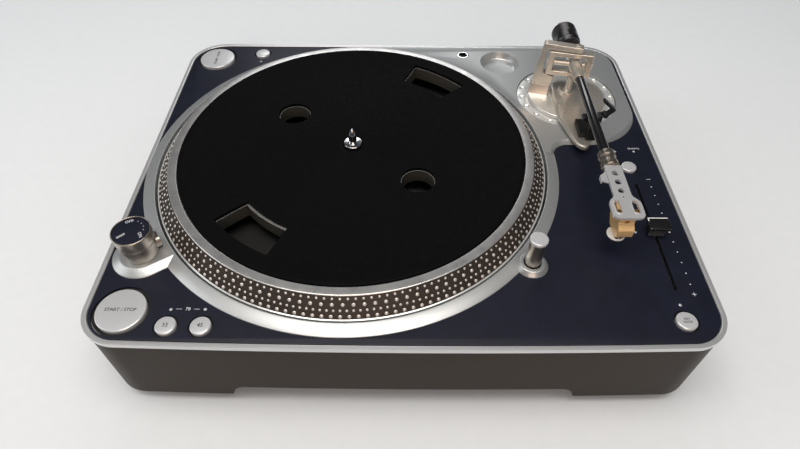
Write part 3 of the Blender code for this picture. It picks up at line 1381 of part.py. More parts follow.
# Arm base
def height_dial(finish, axis):
    low = PANEL_FLOOR + GAP
    dial = solid("arm_height_dial", lathe([
        (DIAL_INNER_RADIUS, low), (DIAL_RADIUS, low), (DIAL_RADIUS, DIAL_TOP), (DIAL_INNER_RADIUS, DIAL_TOP)
    ], MEDIUM_SIDES), finish["silver"], parent=axis)
    dimples = []
    for x, y in circle(DIMPLE_CIRCLE, DIMPLE_COUNT):
        dimples.append(moved(rod(DIMPLE_RADIUS, DIAL_TOP - DIMPLE_DEPTH, OVERRUN, TINY_SIDES), (x, y, 0)))
    cut(dial, guide("dial_dimples", together(*dimples), parent=axis))


def arm_collar(finish, deck):
    inner = COLUMN_RADIUS + COLUMN_CLEARANCE
    outer = inner + COLLAR_RING_WALL
    top = COVER_LOW - GAP
    solid("arm_collar", lathe([
        (inner, top), (outer, top), (outer, top - COLLAR_RING_DEPTH), (inner, top - COLLAR_RING_DEPTH)
    ], MEDIUM_SIDES), finish["steel"], (*ARM_AT, 0), parent=deck)


def slab_outline(inset):
    size = BASE_DISC_RADIUS - inset
    return [(side * size, -ahead * size) for side, ahead in SLAB_OUTLINE_SHARES]


def arm_base(finish, axis):
    """The foot of the arm: a disc over the dial, the long slab, the column below and the pivot post."""
    low = DIAL_TOP + GAP
    disc = BASE_DISC_RADIUS
    base = solid("arm_base", lathe([
        (0, -COLUMN_DEPTH), (COLUMN_RADIUS, -COLUMN_DEPTH), (COLUMN_RADIUS, low), (disc, low),
        (disc, BASE_DISC_TOP - BASE_DISC_ROUND), (disc - BASE_DISC_ROUND, BASE_DISC_TOP), (0, BASE_DISC_TOP),
    ], MEDIUM_SIDES), finish["silver"], parent=axis)
    slab = stack([
        (slab_outline(0), RAISED_TOP + GAP),
        (slab_outline(0), SLAB_TOP - SLAB_ROUND),
        (slab_outline(SLAB_ROUND), SLAB_TOP),
    ])
    post_top = ARM_AXIS_HEIGHT - RING_OUTER_HALF_HEIGHT - GAP
    disc_top = SLAB_TOP + PIVOT_DISC_RISE
    post = lathe([
        (0, BASE_DISC_TOP / 2), (PIVOT_DISC_RADIUS, BASE_DISC_TOP / 2), (PIVOT_DISC_RADIUS, disc_top),
        (PIVOT_POST_RADIUS, disc_top), (PIVOT_POST_RADIUS, post_top), (0, post_top),
    ], SMALL_SIDES)
    pad_top = ARM_AXIS_HEIGHT - YOKE_FOOT_LOW - GAP
    half_depth = YOKE_DEPTH / 2
    flare = YOKE_PAD_FLARE
    left, right = -YOKE_BAR_LOW_OUTER, -YOKE_FOOT_LOW_INNER
    pad = stack([
        (rectangle(left - flare, right, -half_depth - 2 * flare, half_depth + flare), BASE_DISC_TOP / 2),
        (rectangle(left, right, -half_depth, half_depth), pad_top),
    ])
    join(
        base,
        guide("arm_slab", slab, parent=axis),
        guide("pivot_post", post, parent=axis),
        guide("yoke_pad", pad, (0, 0, 0), YOKE_TURN, axis),
    )


def gimbal_yoke(finish, axis):
    height = ARM_AXIS_HEIGHT
    under_arm = YOKE_TOP - YOKE_ARM
    outline = [
        (-YOKE_BAR_LOW_OUTER, -YOKE_FOOT_LOW), (-YOKE_FOOT_LOW_INNER, -YOKE_FOOT_LOW),
        (-YOKE_FOOT_INNER, -YOKE_FOOT_TOP - YOKE_FOOT_FALL), (-YOKE_BAR_INNER, -YOKE_FOOT_TOP),
        (-YOKE_BAR_INNER, under_arm), (YOKE_ARM_END, under_arm), (YOKE_ARM_END, YOKE_TOP),
        (-YOKE_BAR_TOP_OUTER, YOKE_TOP),
    ]
    half = YOKE_DEPTH / 2
    place = (0, 0, height)
    yoke = solid("gimbal_yoke", across(outline, -half, half), finish["silver"], place, YOKE_TURN, axis)
    screw_low = RING_OUTER_HALF_HEIGHT + GAP
    screw = rod(YOKE_SCREW_RADIUS, screw_low, YOKE_TOP + YOKE_SCREW_RISE, TINY_SIDES)
    join(yoke, guide("yoke_screw", screw, place, YOKE_TURN, axis))


def arm_rest(finish, axis):
    """The cradle under the parked tube, with the horn and the pin that carry its clip."""
    low = SLAB_TOP + GAP - ARM_AXIS_HEIGHT
    floor = -TUBE_RADIUS - GAP
    front = -REST_FRONT
    rear = front + REST_DEPTH
    place = (0, 0, ARM_AXIS_HEIGHT)
    cradle = [
        (REST_POST_LEFT, low), (REST_RIGHT, low), (REST_RIGHT, floor + REST_HORN_RISE),
        (REST_RIGHT - REST_HORN, floor + REST_HORN_RISE), (TUBE_RADIUS, floor), (-REST_LEFT, floor),
        (-REST_LEFT, floor - REST_FLOOR), (REST_POST_LEFT, floor - 2 * REST_FLOOR),
    ]
    rest = solid("arm_rest", across(cradle, front, rear), finish["black"], place, 0, axis)
    foot = box(-REST_BLOCK_LEFT, REST_BLOCK_RIGHT, rear - REST_HORN, -REST_BLOCK_REAR, low, low + REST_BLOCK_HEIGHT)
    lug_front = rear - REST_DEPTH / 4
    hinge = (CLIP_HINGE_SIDE, 0, -CLIP_HINGE_DROP)
    lug = forward(rod(CLIP_EYE_RADIUS, -rear, -lug_front, SMALL_SIDES))
    arm = box(REST_RIGHT - REST_HORN, CLIP_HINGE_SIDE, lug_front, rear, floor - REST_FLOOR, -CLIP_HINGE_DROP)
    pin = forward(rod(CLIP_PIN_RADIUS, -lug_front - GAP, -front, TINY_SIDES))
    join(
        rest,
        guide("rest_foot", foot, place, 0, axis),
        guide("rest_arm", arm, place, 0, axis),
        guide("rest_lug", moved(lug, hinge), place, 0, axis),
        guide("rest_pin", moved(pin, hinge), place, 0, axis),
    )
    arm_clip(finish, axis, lug_front, front)


def arm_clip(finish, axis, lug_front, front):
    """The clip, swung open to the right of the tube about its pin."""
    hook_low = TUBE_RADIUS + CLIP_HINGE_DROP + CLIP_CLEARANCE
    hook_top = hook_low + CLIP_LEG
    half = CLIP_LEG / 2
    hook = [
        (-half, 0), (half, 0), (half, hook_top), (-CLIP_REACH, hook_top), (-CLIP_REACH, hook_low),
        (-half, hook_low),
    ]
    clip_front = front + GAP
    clip_rear = lug_front - GAP
    shape = turned(across(hook, clip_front, clip_rear), CLIP_OPEN_TURN, "Y")
    place = (CLIP_HINGE_SIDE, 0, ARM_AXIS_HEIGHT - CLIP_HINGE_DROP)
    clip = solid("arm_clip", shape, finish["black"], place, 0, axis)
    eye = forward(rod(CLIP_EYE_RADIUS, -clip_rear, -clip_front, SMALL_SIDES))
    join(clip, guide("clip_eye", eye, place, 0, axis))
    bore = forward(rod(CLIP_PIN_RADIUS + GAP, -clip_rear - OVERRUN, -clip_front + OVERRUN, TINY_SIDES))
    cut(clip, guide("clip_bore", bore, place, 0, axis))


# Swinging arm
def gimbal_ring(finish, axis):
    outer = rectangle(-RING_OUTER_LEFT, RING_OUTER_RIGHT, -RING_OUTER_HALF_HEIGHT, RING_OUTER_HALF_HEIGHT)
    inner = rectangle(-RING_INNER_LEFT, RING_INNER_RIGHT, -RING_INNER_HALF_HEIGHT, RING_INNER_HALF_HEIGHT)
    half = RING_DEPTH / 2
    ring = solid("gimbal_ring", across(outer, -half, half), finish["silver"], (0, 0, 0), RING_TURN, axis)
    window = across(inner, -half - OVERRUN, half + OVERRUN)
    cut(ring, guide("ring_window", window, (0, 0, 0), RING_TURN, axis))


def arm_root(finish, axis):
    root = solid("arm_root", forward(lathe([
        (0, -REAR_SHAFT_END), (REAR_SHAFT_RADIUS, -REAR_SHAFT_END), (REAR_SHAFT_RADIUS, -ROOT_HUB_REAR),
        (ROOT_HUB_RADIUS, -ROOT_HUB_REAR), (ROOT_HUB_RADIUS, ROOT_CONE_START),
        (ROOT_NOSE_RADIUS, ROOT_CONE_END), (0, ROOT_CONE_END),
    ], SMALL_SIDES)), finish["silver"], parent=axis)
    clearance = BEARING_ROD_CLEARANCE
    pin = rod(BEARING_ROD_RADIUS, clearance - RING_INNER_LEFT, RING_INNER_RIGHT - clearance, TINY_SIDES)
    join(root, guide("bearing_rod", sideways(pin), (0, 0, 0), RING_TURN, axis))


def arm_tube(finish, axis):
    tube = forward(rod(TUBE_RADIUS, ROOT_CONE_END + GAP, TUBE_END, SMALL_SIDES))
    solid("arm_tube", tube, finish["tube"], parent=axis)


def collar_nut(finish, axis):
    waist = NUT_RADIUS - NUT_GROOVE
    third = (NUT_END - NUT_START) / 3
    profile = [
        (NUT_BORE, NUT_START), (waist, NUT_START), (NUT_RADIUS, NUT_START + NUT_GROOVE),
        (NUT_RADIUS, NUT_START + third), (waist, NUT_START + third + NUT_GROOVE),
        (waist, NUT_END - third - NUT_GROOVE), (NUT_RADIUS, NUT_END - third),
        (NUT_RADIUS, NUT_END - NUT_GROOVE), (waist, NUT_END), (NUT_BORE, NUT_END),
    ]
    solid("collar_nut", forward(lathe(profile, SMALL_SIDES)), finish["chrome"], parent=axis)


def counterweight(finish, weight_axis, dial_axis):
    waist = WEIGHT_RADIUS - WEIGHT_STEP
    profile = [
        (WEIGHT_BORE, -WEIGHT_END), (waist, -WEIGHT_END), (WEIGHT_RADIUS, -WEIGHT_END + WEIGHT_STEP),
        (WEIGHT_RADIUS, -WEIGHT_START - WEIGHT_STEP), (waist, -WEIGHT_START), (WEIGHT_BORE, -WEIGHT_START),
    ]
    solid("counterweight", forward(lathe(profile, MEDIUM_SIDES)), finish["black"], parent=weight_axis)
    near = WEIGHT_START - GAP - DIAL_RING_WIDTH
    profile = [
        (WEIGHT_BORE, -WEIGHT_START + GAP), (DIAL_RING_RADIUS, -WEIGHT_START + GAP),
        (DIAL_RING_RADIUS, -near - GAP), (DIAL_RING_RADIUS - GAP, -near), (WEIGHT_BORE, -near),
    ]
    solid("weight_dial", forward(lathe(profile, MEDIUM_SIDES)), finish["black"], parent=dial_axis)


def headshell(finish, axis):
    top = SHELL_PLATE_TOP
    low = top - SHELL_PLATE
    start = NUT_END + GAP
    narrow = SHELL_NECK_WIDTH / 2
    wide = SHELL_WIDE_WIDTH / 2
    step = wide - narrow
    corner = SHELL_CORNER
    front_left = (corner - wide, corner - SHELL_END)
    front_right = (wide - corner, corner - SHELL_END)
    outline = [(narrow, -start), (-narrow, -start), (-narrow, -SHELL_WIDE_START)]
    outline.append((-wide, -SHELL_WIDE_START - step))
    outline += arc(front_left, corner, 180, 270, CORNER_STEPS)
    outline += arc(front_right, corner, 270, 360, CORNER_STEPS)
    outline += [(wide, -SHELL_WIDE_START - step), (narrow, -SHELL_WIDE_START)]
    shell = solid("headshell", prism(outline, low, top), finish["chrome"], parent=axis)
    holes = []
    for radius, place in zip(SHELL_HOLE_RADII, SHELL_HOLE_PLACES):
        holes.append(hole((0, -place), radius, TINY_SIDES))
    slot_radius = SHELL_SLOT_WIDTH / 2
    slot_reach = SHELL_SLOT_LENGTH - SHELL_SLOT_WIDTH
    for side in (-1, 1):
        slot = prism(capsule((0, 0), slot_radius, -90, slot_reach, TINY_STEPS), low - OVERRUN, OVERRUN)
        at = (side * SHELL_SLOT_SPACING / 2, slot_reach / 2 - SHELL_SLOT_PLACE, 0)
        holes.append(moved(slot, at))
    cut(shell, guide("shell_holes", together(*holes), parent=axis))
    plug = forward(rod(SHELL_PLUG_RADIUS, TUBE_END + GAP, SHELL_BLOCK_END - GAP, SMALL_SIDES))
    half = SHELL_BLOCK_WIDTH / 2
    neck = box(-half, half, -SHELL_BLOCK_END, -start, SHELL_BLOCK_LOW, low + SHELL_PLATE / 2)
    join(
        shell,
        guide("shell_neck", neck, parent=axis),
        guide("shell_plug", plug, parent=axis),
    )


def finger_lift(finish, axis):
    root = -SHELL_NECK_WIDTH / 2 - GAP
    tip = root - FINGER_REACH
    third = (FINGER_END - FINGER_START) / 3
    outline = [
        (root, -FINGER_START), (tip, -FINGER_START - third), (tip, -FINGER_END + third / 2), (root, -FINGER_END)
    ]
    top = SHELL_PLATE_TOP
    lift = solid("finger_lift", prism(outline, top - FINGER_THICKNESS, top), finish["chrome"], parent=axis)
    low = top - FINGER_THICKNESS - FINGER_DROP
    edge = box(tip, tip + FINGER_THICKNESS, -FINGER_END + third / 2, -FINGER_START - third, low, top)
    join(lift, guide("finger_edge", edge, parent=axis))


def cartridge(finish, axis):
    top = SHELL_PLATE_TOP - SHELL_PLATE - GAP
    side = [
        (CARTRIDGE_REAR, top), (CARTRIDGE_REAR, -CARTRIDGE_TAIL_LOW),
        (CARTRIDGE_REAR + CARTRIDGE_TAIL_LOW / 2, -CARTRIDGE_LOW), (CARTRIDGE_FRONT - CARTRIDGE_CHAMFER, -CARTRIDGE_LOW),
        (CARTRIDGE_FRONT, CARTRIDGE_CHAMFER - CARTRIDGE_LOW), (CARTRIDGE_FRONT, -CARTRIDGE_SHOULDER),
        (CARTRIDGE_TOP_FRONT, CARTRIDGE_CHAMFER - CARTRIDGE_SHOULDER), (CARTRIDGE_TOP_FRONT, top),
    ]
    outline = [(-z, -ahead) for ahead, z in side]
    half = CARTRIDGE_WIDTH / 2
    solid("cartridge", sideways(prism(outline, -half, half)), finish["gold"], parent=axis)
    stylus_top = -CARTRIDGE_LOW - GAP
    stylus_low = stylus_top - STYLUS_THICKNESS
    shape = lathe([
        (0, stylus_top), (STYLUS_RADIUS, stylus_top), (STYLUS_RADIUS, stylus_low),
        (STYLUS_TIP_RADIUS, stylus_low), (0, stylus_low - STYLUS_TIP),
    ], SMALL_SIDES)
    solid("stylus", shape, finish["cream"], (-STYLUS_SIDE, -STYLUS_PLACE, 0), parent=axis)


def main():
    clear_scene()
    finish = finishes()
    base_tub(finish)
    bottom_cover(finish)
    feet(finish)
    rear_sockets(finish)
    main_board(finish)
    transformer(finish)

    deck = empty("deck_level", (0, 0, DECK_HEIGHT))
    top_cover(finish, deck)
    deck_panels(finish, deck)
    motor(finish, deck)
    platter(finish, empty("platter_axis", (*PLATTER_AT, 0), parent=deck))
    strobe_tower(finish, deck)
    power_knob(finish, empty("knob_axis", (*KNOB_AT, 0), parent=deck), deck)
    target_light(finish, deck)
    buttons(finish, deck)
    boards(finish, deck)
    pitch_fader(finish, empty("fader_start", (*FADER_AT, 0), parent=deck), deck)
    headshell_socket(finish, deck)

    height_dial(finish, empty("dial_axis", (*ARM_AT, 0), parent=deck))
    arm_collar(finish, deck)
    base_axis = empty("arm_base_axis", (*ARM_AT, 0), parent=deck)
    arm_base(finish, base_axis)
    gimbal_yoke(finish, base_axis)
    arm_rest(finish, base_axis)

    swing_axis = empty("arm_swing_axis", (0, 0, ARM_AXIS_HEIGHT), parent=base_axis)
    gimbal_ring(finish, swing_axis)
    lift_axis = empty("arm_lift_axis", (0, 0, 0), parent=swing_axis)
    arm_root(finish, lift_axis)
    arm_tube(finish, lift_axis)
    collar_nut(finish, lift_axis)
    counterweight(finish, lift_axis, lift_axis)
    headshell(finish, lift_axis)
    finger_lift(finish, lift_axis)
    cartridge(finish, lift_axis)


main()
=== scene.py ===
"""Looks for a direct drive turntable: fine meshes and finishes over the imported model, light and camera."""

import math
from functools import partial

import bmesh
import bpy
from mathutils import Matrix, Vector


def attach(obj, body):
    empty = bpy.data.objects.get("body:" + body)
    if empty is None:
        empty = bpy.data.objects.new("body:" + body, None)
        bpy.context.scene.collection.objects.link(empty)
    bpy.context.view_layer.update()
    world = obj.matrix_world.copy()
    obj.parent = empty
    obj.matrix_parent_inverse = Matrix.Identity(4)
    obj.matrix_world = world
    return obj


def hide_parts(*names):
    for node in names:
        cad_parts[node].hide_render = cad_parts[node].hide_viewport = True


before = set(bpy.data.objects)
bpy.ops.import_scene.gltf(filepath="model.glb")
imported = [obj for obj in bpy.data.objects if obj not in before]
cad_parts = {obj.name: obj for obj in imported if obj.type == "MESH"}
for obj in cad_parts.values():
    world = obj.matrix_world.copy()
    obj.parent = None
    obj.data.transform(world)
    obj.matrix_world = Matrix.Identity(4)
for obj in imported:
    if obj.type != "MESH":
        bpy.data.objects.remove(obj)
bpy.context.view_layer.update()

# Sizes in metres, places from the middle of the deck, heights from its surface or the table
DECK = 0.086
WIDTH = 0.45
DEPTH = 0.37
FOOT_HEIGHT = 0.0115
WALL_INSET = 0.0008
RIM_WIDTH = 0.0035
COVER_LOW = -0.004
PANEL_TOP = -0.0004
PANEL_LOW = -0.0016
PANEL_FLOOR = -0.0019
RAISED_TOP = 0.003
GAP = 0.0003
# Reach of a cutter past what it cuts
FAR = 0.05
PLATTER = (-0.0441, 0.0019)
WELL_RADIUS = 0.1678
RING_FOOT = 0.1779
KNOB = (-0.1975, -0.1055)
LIGHT = (0.0955, -0.113)
START_FRONT = (-0.1978, -0.1557)
START_REAR = (-0.1972, 0.1565)
SPEED_33 = (-0.1635, -0.1677)
SPEED_45 = (-0.1395, -0.1677)
START_RADIUS = 0.0176
REVERSE = (-0.1509, 0.1667)
QUARTZ = (0.1958, -0.0062)
KEY_LOCK = (0.1957, -0.1614)
FADER = (0.1965, -0.081)
DISH = (0.0999, 0.1485)
SOCKET = (0.0623, 0.162)
ARM = (0.1585, 0.0915)
ARM_AXIS = 0.039
ARM_CENTRE = (*ARM, DECK + ARM_AXIS)
FRAME_THICKNESS = 0.0075
SCREW_SIDE = 0.00635
REAR_HEIGHT = 0.046
YOKE_TURN = -16
RING_TURN = -11
BOSS_TURN = 35


# Outlines, as lists of (x, y)
def arc(centre, radius, start, end, steps):
    points = []
    for step in range(steps + 1):
        angle = math.radians(start + (end - start) * step / steps)
        points.append((centre[0] + radius * math.cos(angle), centre[1] + radius * math.sin(angle)))
    return points


def circle(radius, sides, centre=(0, 0)):
    return arc(centre, radius, 0, 360, sides)[:-1]


def rectangle(left, right, low, high):
    return [(left, low), (right, low), (right, high), (left, high)]


def capsule(centre, radius, turn, reach, steps=16):
    angle = math.radians(turn)
    far = (centre[0] + reach * math.cos(angle), centre[1] + reach * math.sin(angle))
    return arc(far, radius, turn - 90, turn + 90, steps) + arc(centre, radius, turn + 90, turn + 270, steps)


def sector(inner, outer, start, end, corner=0.0):
    outline = arc((0, 0), outer, start, end, 20) + arc((0, 0), inner, end, start, 20)
    return eased(outline, corner, keep_smooth=True) if corner else outline


def eased(points, radius, steps=4, keep_smooth=False):
    """A closed outline with its corners rounded off. Points on the axis of a lathe profile stay."""
    result = []
    count = len(points)
    for index, point in enumerate(points):
        here = Vector(point[:2])
        back = Vector(points[index - 1][:2]) - here
        ahead = Vector(points[(index + 1) % count][:2]) - here
        size = point[2] if len(point) > 2 else radius
        straight = back.length < 1e-7 or ahead.length < 1e-7 or back.angle(ahead) > math.radians(155)
        if size == 0 or straight or (here.x == 0 and not keep_smooth):
            result.append(tuple(here))
            continue
        reach_back = min(size, 0.45 * back.length)
        reach_ahead = min(size, 0.45 * ahead.length)
        start = here + back.normalized() * reach_back
        end = here + ahead.normalized() * reach_ahead
        for step in range(steps + 1):
            t = step / steps
            result.append(tuple((1 - t) ** 2 * start + 2 * t * (1 - t) * here + t * t * end))
    return result


def rounded(left, right, low, high, corner, steps=4):
    return eased(rectangle(left, right, low, high), corner, steps)


def inset(outline, distance):
    """The outline moved inwards by distance, corner by corner."""
    area = sum(a[0] * b[1] - b[0] * a[1] for a, b in zip(outline, outline[1:] + outline[:1]))
    sign = 1 if area > 0 else -1
    result = []
    for index, point in enumerate(outline):
        here = Vector(point)
        before = here - Vector(outline[index - 1])
        after = Vector(outline[(index + 1) % len(outline)]) - here
        if before.length < 1e-8 or after.length < 1e-8:
            normal = before if before.length > after.length else after
            normal = Vector((-normal.y, normal.x)).normalized() * sign
            result.append(tuple(here + normal * distance))
            continue
        before.normalize()
        after.normalize()
        normal = Vector((-before.y - after.y, before.x + after.x))
        if normal.length < 1e-6:
            result.append(point)
            continue
        normal.normalize()
        lean = max(0.4, normal.dot(Vector((-before.y, before.x))))
        result.append(tuple(here + normal * (sign * distance / lean)))
    return result


def deck_outline(shrink):
    """The body from above: round corners, and a front edge that bows forward in the middle."""
    half_width = WIDTH / 2 - shrink
    half_depth = DEPTH / 2 - shrink
    front_corner = 0.029 - shrink
    rear_corner = 0.034 - shrink
    bow = 0.0037
    flat = half_width - front_corner
    front_centre = -half_depth + bow * (flat / half_width) ** 2 + front_corner
    rear_centre = half_depth - rear_corner
    outline = arc((-flat, front_centre), front_corner, 180, 270, 20)[:-1]
    for step in range(41):
        x = flat * (step / 20 - 1)
        outline.append((x, -half_depth + bow * (x / half_width) ** 2))
    outline += arc((flat, front_centre), front_corner, 270, 360, 20)[1:]
    outline += arc((half_width - rear_corner, rear_centre), rear_corner, 0, 90, 20)
    return outline + arc((rear_corner - half_width, rear_centre), rear_corner, 90, 180, 20)


def island_outline(shrink):
    """The raised field round the arm, running into the platter's ring on its left."""
    right = WIDTH / 2 - 0.0055 - shrink
    rear = DEPTH / 2 - 0.005 - shrink
    front = DEPTH / 2 - 0.162 + shrink
    rear_corner = 0.0285 - shrink
    front_corner = 0.052 - shrink
    fillet = 0.0139
    fillet_at = (WIDTH / 2 - 0.0775, DEPTH / 2 - 0.162 - fillet)
    outline = arc((right - front_corner, front + front_corner), front_corner, -90, 0, 24)
    outline += arc((right - rear_corner, rear - rear_corner), rear_corner, 0, 90, 16)
    outline += [(PLATTER[0], rear), (PLATTER[0] + WELL_RADIUS / 2, PLATTER[1])]
    return outline + arc(fillet_at, fillet + shrink, 180, 90, 16)


# Shapes, as bmeshes
def stack(levels, closed=False):
    """A skin through outlines of equal count, each given as (outline, height)."""
    shape = bmesh.new()
    rings = [[shape.verts.new((x, y, height)) for x, y in outline] for outline, height in levels]
    count = len(rings[0])
    pairs = list(zip(rings, rings[1:] + rings[:1])) if closed else list(zip(rings, rings[1:]))
    for low, high in pairs:
        for i in range(count):
            j = (i + 1) % count
            shape.faces.new((low[i], low[j], high[j], high[i]))
    if not closed:
        shape.faces.new(list(reversed(rings[0])))
        shape.faces.new(rings[-1])
    bmesh.ops.recalc_face_normals(shape, faces=shape.faces)
    return shape


def prism(outline, low, high):
    return stack([(outline, low), (outline, high)])


def pad(outline, low, high, under, over, steps=4):
    """A plate with rounded lower and upper edges."""
    levels = []
    if under:
        for step in range(steps + 1):
            angle = math.pi / 2 * step / steps
            around = inset(outline, under * (1 - math.sin(angle)))
            levels.append((around, low + under * (1 - math.cos(angle))))
    else:
        levels.append((outline, low))
    for step in range(steps + 1):
        angle = math.pi / 2 * step / steps
        levels.append((inset(outline, over * (1 - math.cos(angle))), high - over * (1 - math.sin(angle))))
    return stack(levels)


def lathe(profile, sides=96):
    """A closed profile of (radius, height) turned about Z."""
    shape = bmesh.new()
    rings = []
    for radius, height in profile:
        if radius == 0:
            rings.append([shape.verts.new((0, 0, height))] * sides)
        else:
            rings.append([shape.verts.new((x, y, height)) for x, y in circle(radius, sides)])
    for low, high in zip(rings, rings[1:] + rings[:1]):
        if low[0] is low[1] and high[0] is high[1]:
            continue
        for i in range(sides):
            j = (i + 1) % sides
            corners = []
            for corner in (low[i], low[j], high[j], high[i]):
                if corner not in corners:
                    corners.append(corner)
            shape.faces.new(corners)
    bmesh.ops.recalc_face_normals(shape, faces=shape.faces)
    return shape


def spun(profile, edge, sides=96):
    """A lathe shape with its corners rounded off."""
    return lathe(eased(profile, edge), sides)


def rod(radius, low, high, sides=48, edge=0.0):
    return spun([(0, low), (radius, low), (radius, high), (0, high)], edge, sides)


def moved(shape, offset):
    bmesh.ops.translate(shape, verts=shape.verts, vec=Vector(offset))
    return shape


def bore(radius, place, sides):
    """A round cutter that stands through the deck at a place."""
    return moved(rod(radius, -FAR, FAR, sides), (*place, 0))


def turned(shape, degrees, axis):
    matrix = Matrix.Rotation(math.radians(degrees), 3, axis)
    bmesh.ops.rotate(shape, verts=shape.verts, cent=Vector(), matrix=matrix)
    return shape


def forward(shape):
    """Turns what was built upwards to run along -Y."""
    return turned(shape, 90, "X")


def sideways(shape):
    return turned(shape, 90, "Y")


def rearward(shape):
    return turned(shape, -90, "X")


def across(outline, front, rear):
    """An outline of (x, z) carried along Y."""
    return forward(prism(outline, -rear, -front))


def together(*shapes):
    whole = bmesh.new()
    for shape in shapes:
        mesh = bpy.data.meshes.new("part_of")
        shape.to_mesh(mesh)
        shape.free()
        whole.from_mesh(mesh)
        bpy.data.meshes.remove(mesh)
    return whole


TAKE, ADD = "DIFFERENCE", "UNION"


def carved(shape, *steps):
    """The shape with each (operation, other shape) applied to it."""
    def stand_in(name, content):
        bmesh.ops.remove_doubles(content, verts=content.verts, dist=1e-7)
        bmesh.ops.dissolve_degenerate(content, edges=content.edges, dist=1e-7)
        mesh = bpy.data.meshes.new(name)
        content.to_mesh(mesh)
        content.free()
        made = bpy.data.objects.new(name, mesh)
        bpy.context.scene.collection.objects.link(made)
        return made

    blank = stand_in("blank", shape)
    tools = []
    for operation, other in steps:
        tool = stand_in("tool", other)
        modifier = blank.modifiers.new("carve", "BOOLEAN")
        modifier.operation = operation
        modifier.solver = "EXACT"
        modifier.object = tool
        tools.append(tool)
    evaluated = blank.evaluated_get(bpy.context.evaluated_depsgraph_get())
    result = bmesh.new()
    result.from_mesh(evaluated.to_mesh())
    evaluated.to_mesh_clear()
    for thing in [blank, *tools]:
        mesh = thing.data
        bpy.data.objects.remove(thing, do_unlink=True)
        bpy.data.meshes.remove(mesh)
    bmesh.ops.remove_doubles(result, verts=result.verts, dist=1e-6)
    return result


def cut(shape, *others):
    return carved(shape, *((TAKE, other) for other in others))


def joined(shape, *others):
    return carved(shape, *((ADD, other) for other in others))


# Pieces
def piece(name, shape, finish, body, slot, at=(0, 0, 0), stands_for=(), turn=0, sharp=32, edge=0.0):
    """A finished object on one of the model's bodies, in place of the solids that it stands for."""
    mesh = bpy.data.meshes.new(name)
    shape.to_mesh(mesh)
    shape.free()
    mesh.shade_smooth()
    mesh.set_sharp_from_angle(angle=math.radians(sharp))
    mesh.materials.append(FINISHES[finish])
    made = bpy.data.objects.new(name, mesh)
    made.location = at
    made.rotation_euler = (0, 0, math.radians(turn))
    bpy.context.scene.collection.objects.link(made)
    if edge:
        bevel = made.modifiers.new("edges", "BEVEL")
        bevel.width = edge
        bevel.segments = 3
        bevel.limit_method = "ANGLE"
        bevel.angle_limit = math.radians(sharp)
        bevel.harden_normals = True
        bevel.miter_outer = "MITER_ARC"
    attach(made, body)
    if stands_for:
        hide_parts(*stands_for)
    return made


def repainted(made, finishes, choose):
    """Further finishes on some faces, by a rule on the middle and the direction of a face."""
    for finish in finishes:
        made.data.materials.append(FINISHES[finish])
    for face in made.data.polygons:
        face.material_index = int(choose(face.center, face.normal))


def on_deck(place, rise=0.0):
    return (place[0], place[1], DECK + rise)


def words(name, text, size, place, finish, body, slot, rise, turn=0):
    """Generic printed words as a thin raised print."""
    curve = bpy.data.curves.new(name, "FONT")
    curve.body = text
    curve.size = size
    curve.align_x = "CENTER"
    curve.align_y = "CENTER"
    curve.extrude = 0.00002
    curve.offset = 0.00005
    curve.resolution_u = 3
    holder = bpy.data.objects.new(name, curve)
    bpy.context.scene.collection.objects.link(holder)
    mesh = bpy.data.meshes.new_from_object(holder.evaluated_get(bpy.context.evaluated_depsgraph_get()))
    bpy.data.objects.remove(holder, do_unlink=True)
    bpy.data.curves.remove(curve)
    shape = bmesh.new()
    shape.from_mesh(mesh)
    bpy.data.meshes.remove(mesh)
    return piece(name, shape, finish, body, slot, on_deck(place, rise), turn=turn)


# Materials
def linear(hex_colour):
    """sRGB written as six hex digits, to the linear values that a shader takes."""
    values = [int(hex_colour[i:i + 2], 16) / 255 for i in (0, 2, 4)]
    return (*(v / 12.92 if v <= 0.04045 else ((v + 0.055) / 1.055) ** 2.4 for v in values), 1.0)


def per(millimetres):
    """Texture scale that makes one feature of this many millimetres, on coordinates in metres."""
    return 1000 / millimetres


def add(tree, kind, inputs=None, **settings):
    made = tree.nodes.new(kind)
    for name, value in settings.items():
        setattr(made, name, value)
    for name, value in (inputs or {}).items():
        if isinstance(value, bpy.types.NodeSocket):
            tree.links.new(value, made.inputs[name])
        else:
            made.inputs[name].default_value = value
    return made


def mottled(tree, shader, low, high, grain, detail=3.0):
    """Colour that drifts between two near shades over grain millimetres."""
    place = add(tree, "ShaderNodeTexCoord").outputs["Object"]
    noise = add(tree, "ShaderNodeTexNoise", {"Vector": place, "Scale": per(grain), "Detail": detail})
    blend = add(tree, "ShaderNodeMix", {
        "Factor": noise.outputs["Fac"], 6: linear(low), 7: linear(high),
    }, data_type="RGBA")
    tree.links.new(blend.outputs[2], shader.inputs["Base Color"])


def roughened(tree, shader, low, high, grain):
    """Roughness that drifts from low to high over grain millimetres."""
    place = add(tree, "ShaderNodeTexCoord").outputs["Object"]
    noise = add(tree, "ShaderNodeTexNoise", {"Vector": place, "Scale": per(grain), "Detail": 4.0})
    spread = add(tree, "ShaderNodeMapRange", {
        "Value": noise.outputs["Fac"], "From Min": 0.3, "From Max": 0.7, "To Min": low, "To Max": high,
    })
    tree.links.new(spread.outputs["Result"], shader.inputs["Roughness"])


